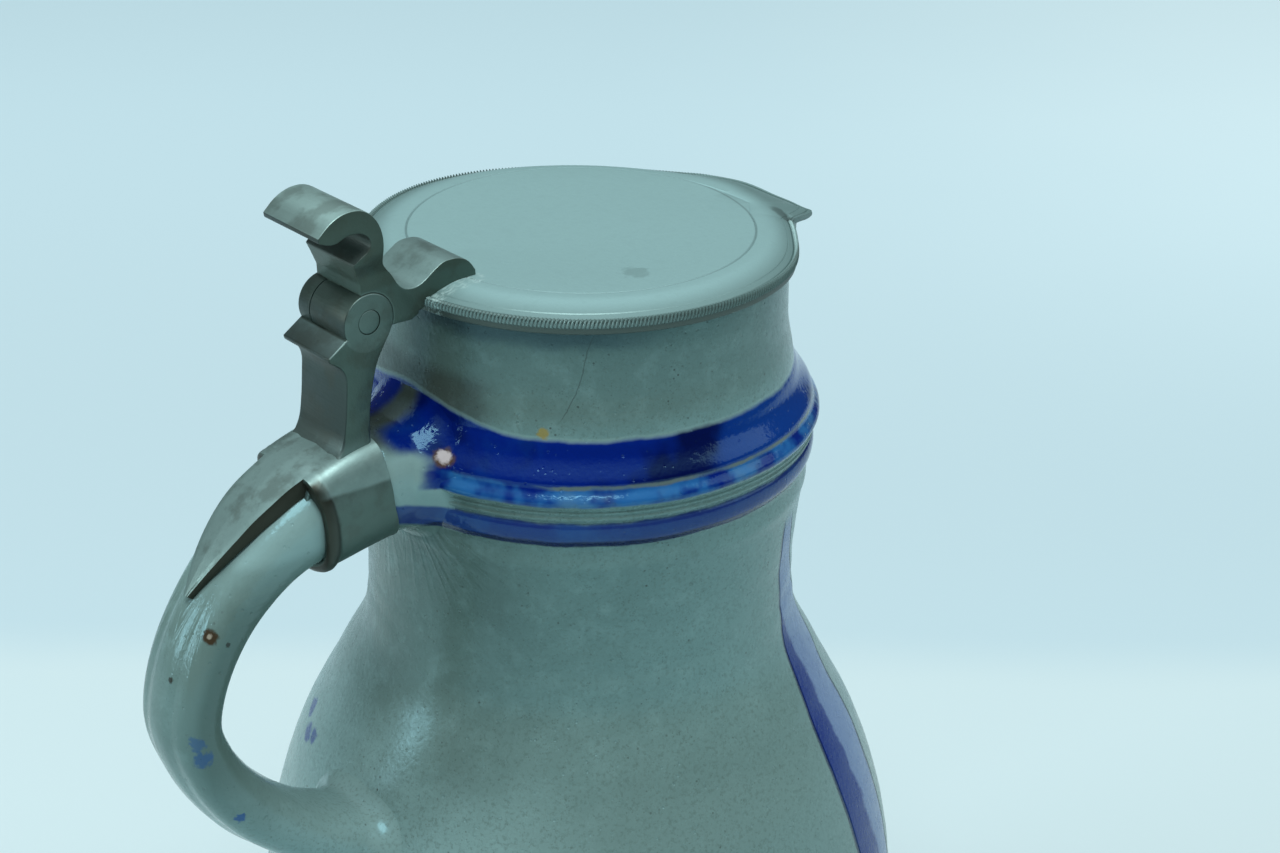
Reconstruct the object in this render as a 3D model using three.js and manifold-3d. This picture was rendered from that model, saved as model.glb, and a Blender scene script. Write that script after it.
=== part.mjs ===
// A salt-glazed stoneware jug with a pewter lid: pear-shaped body, pulled strap handle, and a three-knuckle
// lid hinge that stands on a pewter band around the handle's root.
// Millimetres, +Z up. The origin is the centre of the flat base, the handle points to -X.
import * as THREE from 'three';
import { mergeVertices } from 'three/addons/utils/BufferGeometryUtils.js';
import Module from 'manifold-3d';

const wasm = await Module();
wasm.setup();

// Driving sizes of the whole jug
const LID_TOP = 250; // height of the lid's flat top
const GAP = 0.3; // clearance between neighbouring pieces
const TURNS = 56; // sides of a thrown or cast round
const SPOUT_YAW = -15.5; // degrees that the pulled spout stands off the line through the handle

// Stoneware body: [radius, height] of the outside, from the base up
const BASE_RADIUS = 50;
const BASE_THICKNESS = 7;
const FOOT = [[BASE_RADIUS, 0], [51.6, 2], [52.4, 6], [51.4, 9], [50.4, 11.5], [51.4, 14]];
const BELLY = [[51.4, 14], [58.5, 26], [68, 43], [74, 62], [75.8, 80], [73.8, 100], [67, 123],
  [57, 143], [50, 157], [48.3, 167]];
const WAIST = [[48.3, 167], [48.2, 176], [48.8, 185], [49.8, 192.2], [50.3, 194.6], [50.4, 198.4]];
const COLLAR = [[50.4, 198.4], [50.7, 199.8], [51.4, 201.2], [51.6, 203.4], [51.2, 205.2], [51.6, 206.6],
  [51.5, 207.9], [52.1, 209.3], [52.4, 211.2], [51.8, 213.3], [50.5, 215.1], [48.9, 216.9], [47.7, 218.5],
  [46.9, 221.2]];
const NECK = [[46.9, 221.2], [45.9, 225.5], [45, 231], [44.7, 238], [44.8, 244.4]];
const LIP = [[44.6, 246.1], [43.9, 246.9], [42.4, 246.7], [41.3, 245.2]];
const INSIDE = [[41.1, 240], [41, 226], [42.6, 210], [43.6, 196], [43.4, 178], [44.6, 165], [50.5, 151],
  [58.5, 135], [66, 116], [70.4, 98], [71.6, 80], [69.4, 62], [62, 42], [53, 25], [44, 12]];
const BELLY_STEPS = 12;
const INSIDE_STEPS = 12;

// Pewter lid: flat plate with a sloping border, a knurled edge band and a flap over the spout
const LID_RADIUS = 47.5;
const LID_PLATE = 2.6;
const LID_BAND_BOTTOM = 5.4;
const LID_BAND_WALL = 1.5;
const RING_RADIUS = 37.3; // incised ring on the plate
const RING_WIDTH = 0.9;
const RING_DEPTH = 0.3;
const BORDER_START = 39;
const BORDER_DROP = 2.3;

// Spout: how far the lid's flap and the jug's lip reach out, and how far they droop
const SPOUT_REACH = 9.2;
const SPOUT_HALF_ANGLE = 32; // degrees
const SPOUT_DROOP = 4;
const SPOUT_FOOT = 224; // height where the pulled lip has faded into the neck

// Strap handle: [distance from the jug's axis, height, half depth, half width] along its middle line
const HANDLE = [[40, 209, 12.2, 13.4], [50, 209, 11.2, 12.4], [60, 208.8, 10.4, 11.6], [71, 206.8, 9.8, 11.2],
  [82, 203, 8.3, 10.6], [92.9, 194.4, 6.9, 10.1], [101.2, 182.2, 6.2, 10], [104.6, 169.5, 6, 10],
  [102.3, 159.7, 6.3, 10], [97.3, 150, 6.5, 10], [90.8, 141.8, 6.6, 10.3], [82, 133.6, 6.5, 11],
  [73, 127.2, 7.2, 12], [62, 121.5, 8, 12.5]];
const HANDLE_STEPS = 28;
const STRAP_SIDES = 20;
const STRAP_SQUARENESS = 2.5; // exponent of the superellipse that the strap's section follows

// Pewter band and tongue around the handle's root
const BAND_WALL = 1.8;
const BAND_STEPS = 9;
const BAND_FRONT = [[0.6, -15], [0.2, -25], [-0.9, -39], [-4, -49], [-6, -56]]; // from the pin's centre
const BAND_BACK = [[15, -56], [15.3, -36], [16.4, -31], [18.5, -26.5], [20.5, -15]];
const TONGUE = [[67, 10.2], [73, 11.4], [79, 8.8], [86, 5.8], [91.5, 3.2], [95.3, 1]]; // [distance, half width]
const TONGUE_THICKNESS = 1.9;
const TONGUE_CROWN = 0.16; // fall of its top from the middle to each edge, of its half width
const TONGUE_SIDE = 5; // how far its side walls reach down past the strap's crown

// Hinge: pin centre, knuckles along the pin, and the outlines of its two leaves from the pin's centre
const PIN = { out: 60.7, height: 246.9, radius: 2.5, clearance: 0.1 };
const KNUCKLE_RADIUS = 5.9;
const BARREL = [-7.9, 8.3]; // ends of the three knuckles together, along Y
const MIDDLE_KNUCKLE = [-0.5, 4];
const PILLAR = [[-5.4, -2.4], [-3.6, -5.6], [-1.7, -9], [-0.4, -13.5], [0.5, -19], [0.8, -27], [0.9, -36],
  [17, -36], [16, -31.7], [12.4, -29.5], [9.2, -27.4], [7.4, -24.5], [6.6, -20.5], [6, -14], [5.9, -10.6],
  [6.8, -8.4], [9.6, -6.2], [9.9, -5.4], [5.3, -2.4]];
const PILLAR_FOOT = [[-19, 0.6, 6.4, 7.9], [-23, 0.7, 7, 8], [-26.5, 0.8, 8.6, 8.4], [-30, 0.9, 12.8, 8.6],
  [-36, 1, 16.2, 8.7]]; // [height, inner face, outer face, half width]
const TANG = [[-12.2, -1.5], [-10.4, -2.4], [-5.2, -2.2], [-4.2, 5.8], [1.5, 6.1], [1.6, 8.1]];
const THUMB_BACK = [[1.6, 8.1], [2.9, 11.2], [3.8, 13.1], [2.3, 14.3], [0.6, 15.5], [-0.1, 17], [0.6, 18.5],
  [2.7, 19.6], [5.5, 19.6], [7.9, 18.7], [9.7, 18.9], [11.7, 19.7]];
const THUMB_FRONT = [[11.9, 20.7], [9.2, 23], [6.2, 24.3], [2.7, 24.4], [0, 23.1], [-2, 20.6], [-3, 17.5],
  [-3.1, 13.5], [-3.6, 11.4], [-5.8, 8.6], [-7.5, 5.9], [-9, 4.7], [-11.3, 4.3], [-13.3, 4.8], [-15.8, 6.4],
  [-18.3, 7.8], [-20.4, 8], [-22.6, 7.7], [-24.9, 6.4], [-26.5, 4.2], [-26.6, 2.6], [-12.2, 2.6]];
const THUMB_HALF_WIDTH = 7.6;
const HEAD_HALF_WIDTH = 9.5;
const HEAD_FOOT = 18; // height above the pin where the thumb-piece's wider head begins

const stoneware = new THREE.MeshStandardMaterial({ color: 0x9aa39c, roughness: 0.35, metalness: 0 });
const handleStoneware = new THREE.MeshStandardMaterial({ color: 0xa3aba3, roughness: 0.35, metalness: 0 });
const pewter = new THREE.MeshStandardMaterial({ color: 0x7d8580, roughness: 0.42, metalness: 0.9 });
const wornPewter = new THREE.MeshStandardMaterial({ color: 0x6d746c, roughness: 0.5, metalness: 0.9 });

const vector2 = (point) => new THREE.Vector2(point[0], point[1]);

// Booleans

function toSolid(geometry) {
  const bare = geometry.clone();
  bare.deleteAttribute('normal');
  bare.deleteAttribute('uv');
  const merged = mergeVertices(bare, 1e-4);
  const vertProperties = new Float32Array(merged.attributes.position.array);
  const triVerts = new Uint32Array(merged.index.array);
  const solid = new wasm.Manifold(new wasm.Mesh({ numProp: 3, vertProperties, triVerts }));
  if (solid.volume() > 0) return solid;
  return new wasm.Manifold(new wasm.Mesh({ numProp: 3, vertProperties, triVerts: triVerts.reverse() }));
}

function toMesh(name, solid, material) {
  const { numProp, vertProperties, triVerts } = solid.getMesh();
  const count = vertProperties.length / numProp;
  const positions = new Float32Array(count * 3);
  for (let i = 0; i < count; i += 1) {
    for (let axis = 0; axis < 3; axis += 1) positions[3 * i + axis] = vertProperties[numProp * i + axis];
  }
  const geometry = new THREE.BufferGeometry();
  geometry.setAttribute('position', new THREE.BufferAttribute(positions, 3));
  geometry.setIndex(new THREE.BufferAttribute(new Uint32Array(triVerts), 1));
  geometry.computeVertexNormals();
  const mesh = new THREE.Mesh(geometry, material);
  mesh.name = name;
  return mesh;
}

// Shapes

// Turns a [radius, height] outline about Z. Lathe geometry turns about Y, so it is stood up afterwards.
function turned(outline) {
  const geometry = new THREE.LatheGeometry(outline.map(vector2), TURNS);
  geometry.rotateX(Math.PI / 2);
  return geometry;
}

function smooth(points, steps) {
  return new THREE.SplineCurve(points.map(vector2)).getPoints(steps).map((point) => [point.x, point.y]);
}

// Extrudes an outline of [outwards, up] points from the pin's centre along Y.
function leaf(outline, from, to) {
  const shape = new THREE.Shape(outline.map(([out, up]) => new THREE.Vector2(-PIN.out - out, PIN.height + up)));
  const geometry = new THREE.ExtrudeGeometry(shape, { depth: to - from, bevelEnabled: false });
  geometry.rotateX(Math.PI / 2);
  geometry.translate(0, to, 0);
  return geometry;
}

function rodAlongY(radius, from, to, sides = 32) {
  const geometry = new THREE.CylinderGeometry(radius, radius, to - from, sides);
  geometry.translate(-PIN.out, (from + to) / 2, PIN.height);
  return geometry;
}

// Joins rings of equal length into one closed body with flat ends.
function loft(rings) {
  const sides = rings[0].length;
  const positions = rings.flat().flatMap((point) => [point.x, point.y, point.z]);
  const index = [];
  for (let ring = 0; ring < rings.length - 1; ring += 1) {
    for (let side = 0; side < sides; side += 1) {
      const a = ring * sides + side;
      const b = ring * sides + (side + 1) % sides;
      index.push(a, b, b + sides, a, b + sides, a + sides);
    }
  }
  for (let side = 1; side < sides - 1; side += 1) {
    const last = (rings.length - 1) * sides;
    index.push(0, side + 1, side);
    index.push(last, last + side, last + side + 1);
  }
  const geometry = new THREE.BufferGeometry();
  geometry.setAttribute('position', new THREE.Float32BufferAttribute(positions, 3));
  geometry.setIndex(index);
  return geometry;
}

// Spout: a field that draws the lid's flap and the jug's lip outwards and down together

function spoutPull(x, y, amount) {
  const radius = Math.hypot(x, y);
  const off = Math.atan2(y, x) - THREE.MathUtils.degToRad(SPOUT_YAW);
  const turn = Math.abs(Math.atan2(Math.sin(off), Math.cos(off)));
  const half = THREE.MathUtils.degToRad(SPOUT_HALF_ANGLE);
  const across = Math.max(0, 1 - turn / half);
  const tangent = (Math.cos(half - Math.min(turn, half)) ** -1 - 1) / (Math.cos(half) ** -1 - 1);
  const along = THREE.MathUtils.smoothstep(radius, BORDER_START - 8, LID_RADIUS);
  const out = SPOUT_REACH * tangent * along * amount;
  const down = SPOUT_DROOP * across ** 1.5 * THREE.MathUtils.smoothstep(radius, BORDER_START, LID_RADIUS) * amount;
  return { scale: radius > 0 ? (radius + out) / radius : 1, down };
}

function pullSpout(geometry, amountAt) {
  const place = geometry.attributes.position;
  for (let i = 0; i < place.count; i += 1) {
    const [x, y, z] = [place.getX(i), place.getY(i), place.getZ(i)];
    const { scale, down } = spoutPull(x, y, amountAt(z));
    place.setXYZ(i, x * scale, y * scale, z - down);
  }
  return geometry;
}

const lipAmount = (height) => THREE.MathUtils.smoothstep(height, SPOUT_FOOT, LIP[0][1]);

// Stoneware

function bodyOutside() {
  return [...FOOT, ...smooth(BELLY, BELLY_STEPS).slice(1), ...WAIST.slice(1), ...COLLAR.slice(1), ...NECK.slice(1)];
}

function jugBody() {
  const inside = smooth(INSIDE, INSIDE_STEPS);
  const outline = [[0, 0], ...bodyOutside(), ...LIP, ...inside, [30, BASE_THICKNESS + 0.6], [0, BASE_THICKNESS]];
  return toSolid(pullSpout(turned(outline), lipAmount));
}

// The space that the body fills, grown by the gap, to cut its neighbours with.
function bodySpace() {
  const grown = bodyOutside().map(([radius, height]) => [radius + GAP, height]);
  return toSolid(turned([[0, 0], ...grown, [0, NECK.at(-1)[1]]]));
}

// A point of the strap's middle line and the directions across it.
function strapStations(from, to, steps) {
  const line = new THREE.CatmullRomCurve3(HANDLE.map(([out, height]) => new THREE.Vector3(-out, 0, height)));
  const sizes = new THREE.CatmullRomCurve3(HANDLE.map(([, , depth, width]) => new THREE.Vector3(depth, width, 0)));
  const stations = [];
  for (let i = 0; i <= steps; i += 1) {
    const t = from + (to - from) * (i / steps);
    const tangent = line.getTangent(t);
    const size = sizes.getPoint(t);
    stations.push({
      middle: line.getPoint(t),
      crown: new THREE.Vector3(tangent.z, 0, -tangent.x),
      depth: size.x,
      width: size.y,
    });
  }
  return stations;
}

function strapRing({ middle, crown, depth, width }, grow) {
  const ring = [];
  for (let side = 0; side < STRAP_SIDES; side += 1) {
    const angle = 2 * Math.PI * (side / STRAP_SIDES);
    const power = 2 / STRAP_SQUARENESS;
    const high = Math.sign(Math.cos(angle)) * Math.abs(Math.cos(angle)) ** power * (depth + grow);
    const wide = Math.sign(Math.sin(angle)) * Math.abs(Math.sin(angle)) ** power * (width + grow);
    ring.push(middle.clone().addScaledVector(crown, high).add(new THREE.Vector3(0, wide, 0)));
  }
  return ring;
}

// Where along the strap its middle line is this far from the jug's axis, on the upper half.
function strapAt(out) {
  const line = new THREE.CatmullRomCurve3(HANDLE.map(([x, height]) => new THREE.Vector3(-x, 0, height)));
  let [low, high] = [0, 0.5];
  for (let i = 0; i < 30; i += 1) {
    const middle = (low + high) / 2;
    if (-line.getPoint(middle).x < out) low = middle;
    else high = middle;
  }
  return low;
}

function strap(grow, from = 0, to = 1, steps = HANDLE_STEPS) {
  return toSolid(loft(strapStations(from, to, steps).map((station) => strapRing(station, grow))));
}

function jugHandle() {
  return strap(0).subtract(bodySpace());
}

// Pewter on the handle

function tongue(grow) {
  const rings = TONGUE.map(([out, width], ring) => {
    const [{ middle, crown, depth }] = strapStations(strapAt(ring > 0 ? out : out - grow), 1, 1);
    const half = width + grow;
    const top = depth + TONGUE_THICKNESS + grow;
    const low = Math.max(depth - TONGUE_SIDE, 0);
    const corner = (high, wide) => middle.clone().addScaledVector(crown, high).add(new THREE.Vector3(0, wide, 0));
    const shoulder = top - TONGUE_CROWN * half;
    return [corner(low, -half), corner(low, half), corner(shoulder, half), corner(top, 0), corner(shoulder, -half)];
  });
  return toSolid(loft(rings));
}

function band(grow) {
  const front = BAND_FRONT.map(([out, up]) => [out - grow, up]);
  const back = BAND_BACK.map(([out, up]) => [out + grow, up]);
  const sleeve = strap(BAND_WALL + grow, strapAt(HANDLE[0][0] + 8), strapAt(HANDLE[5][0]), BAND_STEPS);
  return sleeve.intersect(toSolid(leaf([...front, ...back], -2 * HANDLE[2][3], 2 * HANDLE[2][3])));
}

// The band and tongue with the strap's own space still in them.
const mountSpace = (grow) => band(grow).add(tongue(grow));

function handleMount() {
  return mountSpace(0).subtract(strap(GAP));
}

function pillarFoot() {
  const rings = PILLAR_FOOT.map(([up, inner, outer, half]) => [[inner, -half], [inner, half], [outer, half],
    [outer, -half]].map(([out, y]) => new THREE.Vector3(-PIN.out - out, y, PIN.height + up)));
  return toSolid(loft(rings));
}

function hingePillar() {
  const shank = toSolid(leaf(PILLAR, ...BARREL)).add(toSolid(rodAlongY(KNUCKLE_RADIUS, ...BARREL)));
  const slot = toSolid(rodAlongY(KNUCKLE_RADIUS + GAP, MIDDLE_KNUCKLE[0] - GAP, MIDDLE_KNUCKLE[1] + GAP));
  const bore = toSolid(rodAlongY(PIN.radius + PIN.clearance, BARREL[0] - 1, BARREL[1] + 1, 24));
  return shank.add(pillarFoot()).subtract(slot).subtract(bore).subtract(mountSpace(GAP)).subtract(strap(GAP));
}

// Lid and thumb-lift

function lidOutline() {
  const border = (radius) => LID_TOP - BORDER_DROP * ((radius - BORDER_START) / (LID_RADIUS - BORDER_START)) ** 1.6;
  const slope = [BORDER_START, 41.5, 44, 46, 47].map((radius) => [radius, border(radius)]);
  const bandInner = LID_RADIUS - LID_BAND_WALL;
  const bottom = LID_TOP - LID_BAND_BOTTOM;
  const under = [0, 30, 36, 39, 41.5, 43, 44.5].map((radius) => [radius, LID_TOP - LID_PLATE]);
  const edge = [[bandInner, LID_TOP - 3.1], [bandInner, bottom], [LID_RADIUS - 0.4, bottom],
    [LID_RADIUS, bottom + 0.5], [LID_RADIUS, border(47) - 0.5]];
  return [...under, ...edge, ...slope.reverse(), [RING_RADIUS + RING_WIDTH / 2, LID_TOP], [RING_RADIUS, LID_TOP - RING_DEPTH],
    [RING_RADIUS - RING_WIDTH / 2, LID_TOP], [24, LID_TOP], [0, LID_TOP]];
}

function lid() {
  return toSolid(pullSpout(turned(lidOutline()), () => 1));
}

// The space that the lid fills where the tang lies on it, grown by the gap.
function lidSpace() {
  const outline = lidOutline();
  const top = outline.slice(11).map(([radius, height]) => [radius + (radius > BORDER_START ? GAP : 0), height + GAP]);
  return toSolid(turned([[0, LID_TOP - 8], [LID_RADIUS + GAP, LID_TOP - 8], ...top]));
}

function thumbLift() {
  const outline = [...TANG, ...THUMB_BACK.slice(1), ...THUMB_FRONT];
  const blade = toSolid(leaf(outline, -THUMB_HALF_WIDTH, THUMB_HALF_WIDTH));
  const wide = toSolid(leaf(outline, -HEAD_HALF_WIDTH, HEAD_HALF_WIDTH));
  const aboveNeck = new THREE.BoxGeometry(40, 40, 20);
  aboveNeck.translate(-PIN.out, 0, PIN.height + HEAD_FOOT + 10);
  const knuckle = toSolid(rodAlongY(KNUCKLE_RADIUS, ...MIDDLE_KNUCKLE));
  const near = toSolid(rodAlongY(KNUCKLE_RADIUS + GAP, BARREL[0] - 2, MIDDLE_KNUCKLE[0]));
  const far = toSolid(rodAlongY(KNUCKLE_RADIUS + GAP, MIDDLE_KNUCKLE[1], BARREL[1] + 2));
  const bore = toSolid(rodAlongY(PIN.radius + PIN.clearance, BARREL[0] - 2, BARREL[1] + 2, 24));
  const head = wide.intersect(toSolid(aboveNeck));
  return blade.add(head).add(knuckle).subtract(near).subtract(far).subtract(bore).subtract(lidSpace());
}

function hingePin() {
  return toSolid(rodAlongY(PIN.radius, BARREL[0], BARREL[1], 24));
}

const jug = new THREE.Group();
jug.add(toMesh('jug_body', jugBody(), stoneware));
jug.add(toMesh('jug_handle', jugHandle(), handleStoneware));
jug.add(toMesh('handle_mount', handleMount(), wornPewter));
jug.add(toMesh('hinge_pillar', hingePillar(), wornPewter));
jug.add(toMesh('hinge_pin', hingePin(), pewter));
jug.add(toMesh('thumb_lift', thumbLift(), wornPewter));
jug.add(toMesh('lid', lid(), pewter));

export default jug;
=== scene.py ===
"""Looks of a lidded stoneware jug: fine pieces and finishes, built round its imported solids.

Sizes are in millimetres until a mesh is made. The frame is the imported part's own: +Z up, the handle and the
lid hinge on -X, the origin at the centre of the flat base.
"""
import logging
import math
from dataclasses import dataclass
from enum import Enum
from functools import reduce
from typing import Callable, Sequence

import bmesh
import bpy
from mathutils import Matrix, Vector, noise


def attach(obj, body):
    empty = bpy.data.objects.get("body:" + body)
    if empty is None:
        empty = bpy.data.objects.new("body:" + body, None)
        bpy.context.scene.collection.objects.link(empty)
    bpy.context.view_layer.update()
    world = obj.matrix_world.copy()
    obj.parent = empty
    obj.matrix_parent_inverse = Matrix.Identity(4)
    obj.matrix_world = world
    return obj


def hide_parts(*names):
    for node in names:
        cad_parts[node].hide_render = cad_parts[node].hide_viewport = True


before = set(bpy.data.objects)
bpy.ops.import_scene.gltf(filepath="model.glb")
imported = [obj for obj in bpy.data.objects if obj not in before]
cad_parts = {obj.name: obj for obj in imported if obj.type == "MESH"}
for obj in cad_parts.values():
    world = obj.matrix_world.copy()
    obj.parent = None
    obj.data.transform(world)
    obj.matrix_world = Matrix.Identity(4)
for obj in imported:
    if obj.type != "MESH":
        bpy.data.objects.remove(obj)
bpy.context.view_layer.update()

LOG = logging.getLogger("jug")
MM = 0.001
FULL_TURN = 2 * math.pi
SAME_PLACE = 1e-6
SAME_POINT = 0.01
ROUNDED_FROM = 40
HALVINGS = 30
PIN = (60.7, 246.9)
TEETH = 373
SLANT = 2.2
STRAP_ROOT = (0.04, 0.5)

Pair = tuple[float, float]
Line = Sequence[Pair]
Rows = Sequence[Sequence[float]]
Colour = Sequence[float]
Socket = bpy.types.NodeSocket
Thing = bpy.types.Object


class Body(Enum):
    """The rigid bodies that a piece can ride on."""

    JUG = "jug"
    LID = "lid"


# Small sums


def smoothstep(value: float, low: float, high: float) -> float:
    """Rises smoothly from 0 where value is low to 1 where it is high."""
    share = min(max((value - low) / (high - low), 0.0), 1.0)
    return share * share * (3 - 2 * share)


def blend(a: float, b: float, share: float) -> float:
    """Returns the number that lies share of the way from a to b."""
    return a + (b - a) * share


def along(points: Rows, place: float) -> list[float]:
    """Reads a centripetal Catmull-Rom curve.

    Args:
        points: The curve's control points, of any number of sizes; the first two give the spacing.
        place: How far along, from 0 at the first point to 1 at the last.

    Returns:
        The curve's point there.
    """
    last = len(points) - 1
    span = min(max(place, 0.0), 1.0) * last
    i = min(int(span), last - 1)
    share = span - i
    p1, p2 = points[i], points[i + 1]
    p0 = points[i - 1] if i > 0 else [2 * a - b for a, b in zip(p1, p2)]
    p3 = points[i + 2] if i + 2 <= last else [2 * b - a for a, b in zip(p1, p2)]
    steps = [max(math.hypot(b[0] - a[0], b[1] - a[1]) ** 0.5, 0.01) for a, b in ((p0, p1), (p1, p2), (p2, p3))]
    found = []
    for a, b, c, d in zip(p0, p1, p2, p3):
        leave = ((b - a) / steps[0] - (c - a) / (steps[0] + steps[1]) + (c - b) / steps[1]) * steps[1]
        reach = ((c - b) / steps[1] - (d - b) / (steps[1] + steps[2]) + (d - c) / steps[2]) * steps[1]
        cubic = 2 * b - 2 * c + leave + reach
        square = -3 * b + 3 * c - 2 * leave - reach
        found.append(((cubic * share + square) * share + leave) * share + b)
    return found


def evenly(points: Rows, count: int) -> list[list[float]]:
    """Reads a smooth line through points at count + 1 even places, ends included."""
    return [along(points, i / count) for i in range(count + 1)]


def eased(points: Line, spacing: float) -> list[Pair]:
    """Resamples a smooth line through points, about spacing apart and ends included."""
    count = max(int(sum(math.dist(a, b) for a, b in zip(points, points[1:])) / spacing), len(points))
    return [tuple(point) for point in evenly(points, count)]


def turns(count: int) -> list[float]:
    """Returns count even turns round a circle, in radians."""
    return [FULL_TURN * i / count for i in range(count)]


def widened(place: Vector, scale: float, rise: float = 0.0) -> Vector:
    """Moves a place out from the axis by a scale, and up."""
    return Vector((place.x * scale, place.y * scale, place.z + rise))


def joined(*lines: Line) -> list[Pair]:
    """Joins lines end to end, leaving out points that repeat."""
    points: list[Pair] = []
    for line in lines:
        for point in line:
            if not points or math.dist(point, points[-1]) > SAME_POINT:
                points.append((point[0], point[1]))
    return points


def height_line(points: Line, height: float) -> float:
    """Reads a list of [value, height] pairs that rises in height.

    Args:
        points: The pairs.
        height: The height to read at.

    Returns:
        The value there, or the nearest end's.
    """
    if height <= points[0][1]:
        return points[0][0]
    for (a, low), (b, high) in zip(points, points[1:]):
        if height <= high:
            return blend(a, b, (height - low) / max(high - low, SAME_PLACE))
    return points[-1][0]


def crossing(low: float, high: float, before: Callable[[float], bool]) -> float:
    """Finds where a test stops holding.

    Args:
        low: A number for which it holds.
        high: A number for which it doesn't.
        before: The test.

    Returns:
        The number between them from which it no longer holds.
    """
    for _ in range(HALVINGS):
        middle = (low + high) / 2
        low, high = (middle, high) if before(middle) else (low, middle)
    return (low + high) / 2


def grain(place: Vector, size: float, seed: float = 0.0) -> float:
    """Returns smooth noise from about -1 to 1 whose lumps are about size millimetres across."""
    return noise.noise(place / size + Vector((seed, seed, seed)))


# The bench: operators that make meshes


def pick(thing: Thing) -> None:
    """Selects a piece alone and makes it the active one."""
    bpy.ops.object.select_all(action="DESELECT")
    bpy.context.view_layer.objects.active = thing
    thing.select_set(True)


def edit(thing: Thing) -> None:
    """Opens a piece in edit mode, with all of it selected."""
    pick(thing)
    bpy.ops.object.mode_set(mode="EDIT")
    bpy.ops.mesh.select_all(action="SELECT")


def loop_of(name: str, points: Sequence[Vector]) -> Thing:
    """Adds a circle with a corner for each point, and leaves it open in edit mode with its corners there.

    Args:
        name: The new piece's name.
        points: The corners' places, in millimetres.

    Returns:
        The new piece.
    """
    bpy.ops.object.select_all(action="DESELECT")
    bpy.ops.mesh.primitive_circle_add(vertices=len(points), radius=MM)
    thing = bpy.context.object
    thing.name = thing.data.name = name
    edit(thing)
    set_loop(thing, {}, points)
    return thing


def set_loop(thing: Thing, before: dict, points: Sequence[Vector]) -> dict:
    """Moves the selected corners of an open piece to new places.

    Args:
        thing: The piece, in edit mode.
        before: Which point each place held until now, or nothing for the first loop.
        points: The new places, in millimetres.

    Returns:
        Which point each place holds now.
    """
    mesh = bmesh.from_edit_mesh(thing.data)
    now = {}
    for i, corner in enumerate([corner for corner in mesh.verts if corner.select]):
        which = before[tuple(corner.co)] if before else i
        corner.co = Vector(points[which]) * MM
        now[tuple(corner.co)] = which
    bmesh.update_edit_mesh(thing.data)
    return now


def settle(thing: Thing) -> Thing:
    """Merges doubles, drops loose ends, turns the faces outwards and leaves edit mode."""
    bpy.ops.mesh.select_all(action="SELECT")
    bpy.ops.mesh.remove_doubles(threshold=SAME_PLACE)
    bpy.ops.mesh.delete_loose()
    bpy.ops.mesh.select_all(action="SELECT")
    bpy.ops.mesh.normals_make_consistent(inside=False)
    bpy.ops.object.mode_set(mode="OBJECT")
    return thing


def sealed(thing: Thing) -> Thing:
    """Fills the slivers that a cut can leave open."""
    edit(thing)
    bpy.ops.mesh.select_mode(type="EDGE")
    bpy.ops.mesh.select_all(action="DESELECT")
    bpy.ops.mesh.select_non_manifold(extend=False)
    bpy.ops.mesh.fill_holes(sides=4)
    bpy.ops.mesh.select_mode(type="VERT")
    return settle(thing)


def spun(name: str, outline: Line, steps: int) -> Thing:
    """Turns a [radius, height] outline about Z, as on a wheel.

    Args:
        name: The new piece's name.
        outline: The outline, both of whose ends lie on the axis.
        steps: The number of sides of the round.

    Returns:
        The new piece.
    """
    thing = loop_of(name, [Vector((radius, 0, height)) for radius, height in outline])
    bpy.ops.mesh.spin(steps=steps, angle=FULL_TURN, center=(0, 0, 0), axis=(0, 0, 1))
    return settle(thing)


def drawn(name: str, rings: Sequence[Sequence[Vector]], closed: bool = False) -> Thing:
    """Extrudes a loop from ring to ring.

    Args:
        name: The new piece's name.
        rings: The rings, each with the same number of points, in millimetres.
        closed: Whether the last ring joins the first. Otherwise both ends are filled.

    Returns:
        The new piece.
    """
    thing = loop_of(name, rings[0])
    if not closed:
        bpy.ops.mesh.edge_face_add()
    mesh = bmesh.from_edit_mesh(thing.data)
    spots = {tuple(corner.co): i for i, corner in enumerate(mesh.verts)}
    for ring in [*rings[1:], rings[0]] if closed else rings[1:]:
        bpy.ops.mesh.extrude_region_move()
        spots = set_loop(thing, spots, ring)
    return settle(thing)


def slab(name: str, outline: Line, near: float, far: float) -> Thing:
    """Fills an outline of [x, z] points and extrudes it along Y, from near to far."""
    return drawn(name, [[Vector((x, y, z)) for x, z in outline] for y in (near, far)])


def rod(name: str, centre: Pair, radius: float, near: float, far: float, sides: int = 96) -> Thing:
    """Makes a rod round an [x, z] centre, along Y from near to far."""
    outline = [(centre[0] + radius * math.cos(a), centre[1] + radius * math.sin(a)) for a in turns(sides)]
    return slab(name, outline, near, far)


def finish_with(thing: Thing, kind: str, **settings: object) -> Thing:
    """Adds a modifier and applies it.

    Args:
        thing: The piece.
        kind: The modifier's type.
        settings: Its settings.

    Returns:
        The piece.
    """
    pick(thing)
    modifier = thing.modifiers.new(kind, kind)
    for key, value in settings.items():
        setattr(modifier, key, value)
    bpy.ops.object.modifier_apply(modifier=modifier.name)
    return thing


def rounded(thing: Thing, width: float) -> Thing:
    """Rounds the sharp edges of a piece, width millimetres wide."""
    return finish_with(thing, "BEVEL", width=width * MM, segments=3, limit_method="ANGLE",
                       angle_limit=math.radians(ROUNDED_FROM), use_clamp_overlap=True)


def carved(thing: Thing, tool: Thing, how: str = "DIFFERENCE") -> Thing:
    """Joins or cuts a piece with another, which is used up.

    Args:
        thing: The piece that stays.
        tool: The piece that is used up.
        how: DIFFERENCE to cut, UNION to join.

    Returns:
        The piece.
    """
    finish_with(thing, "BOOLEAN", object=tool, operation=how, solver="EXACT")
    bpy.data.objects.remove(tool, do_unlink=True)
    return thing


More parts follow.
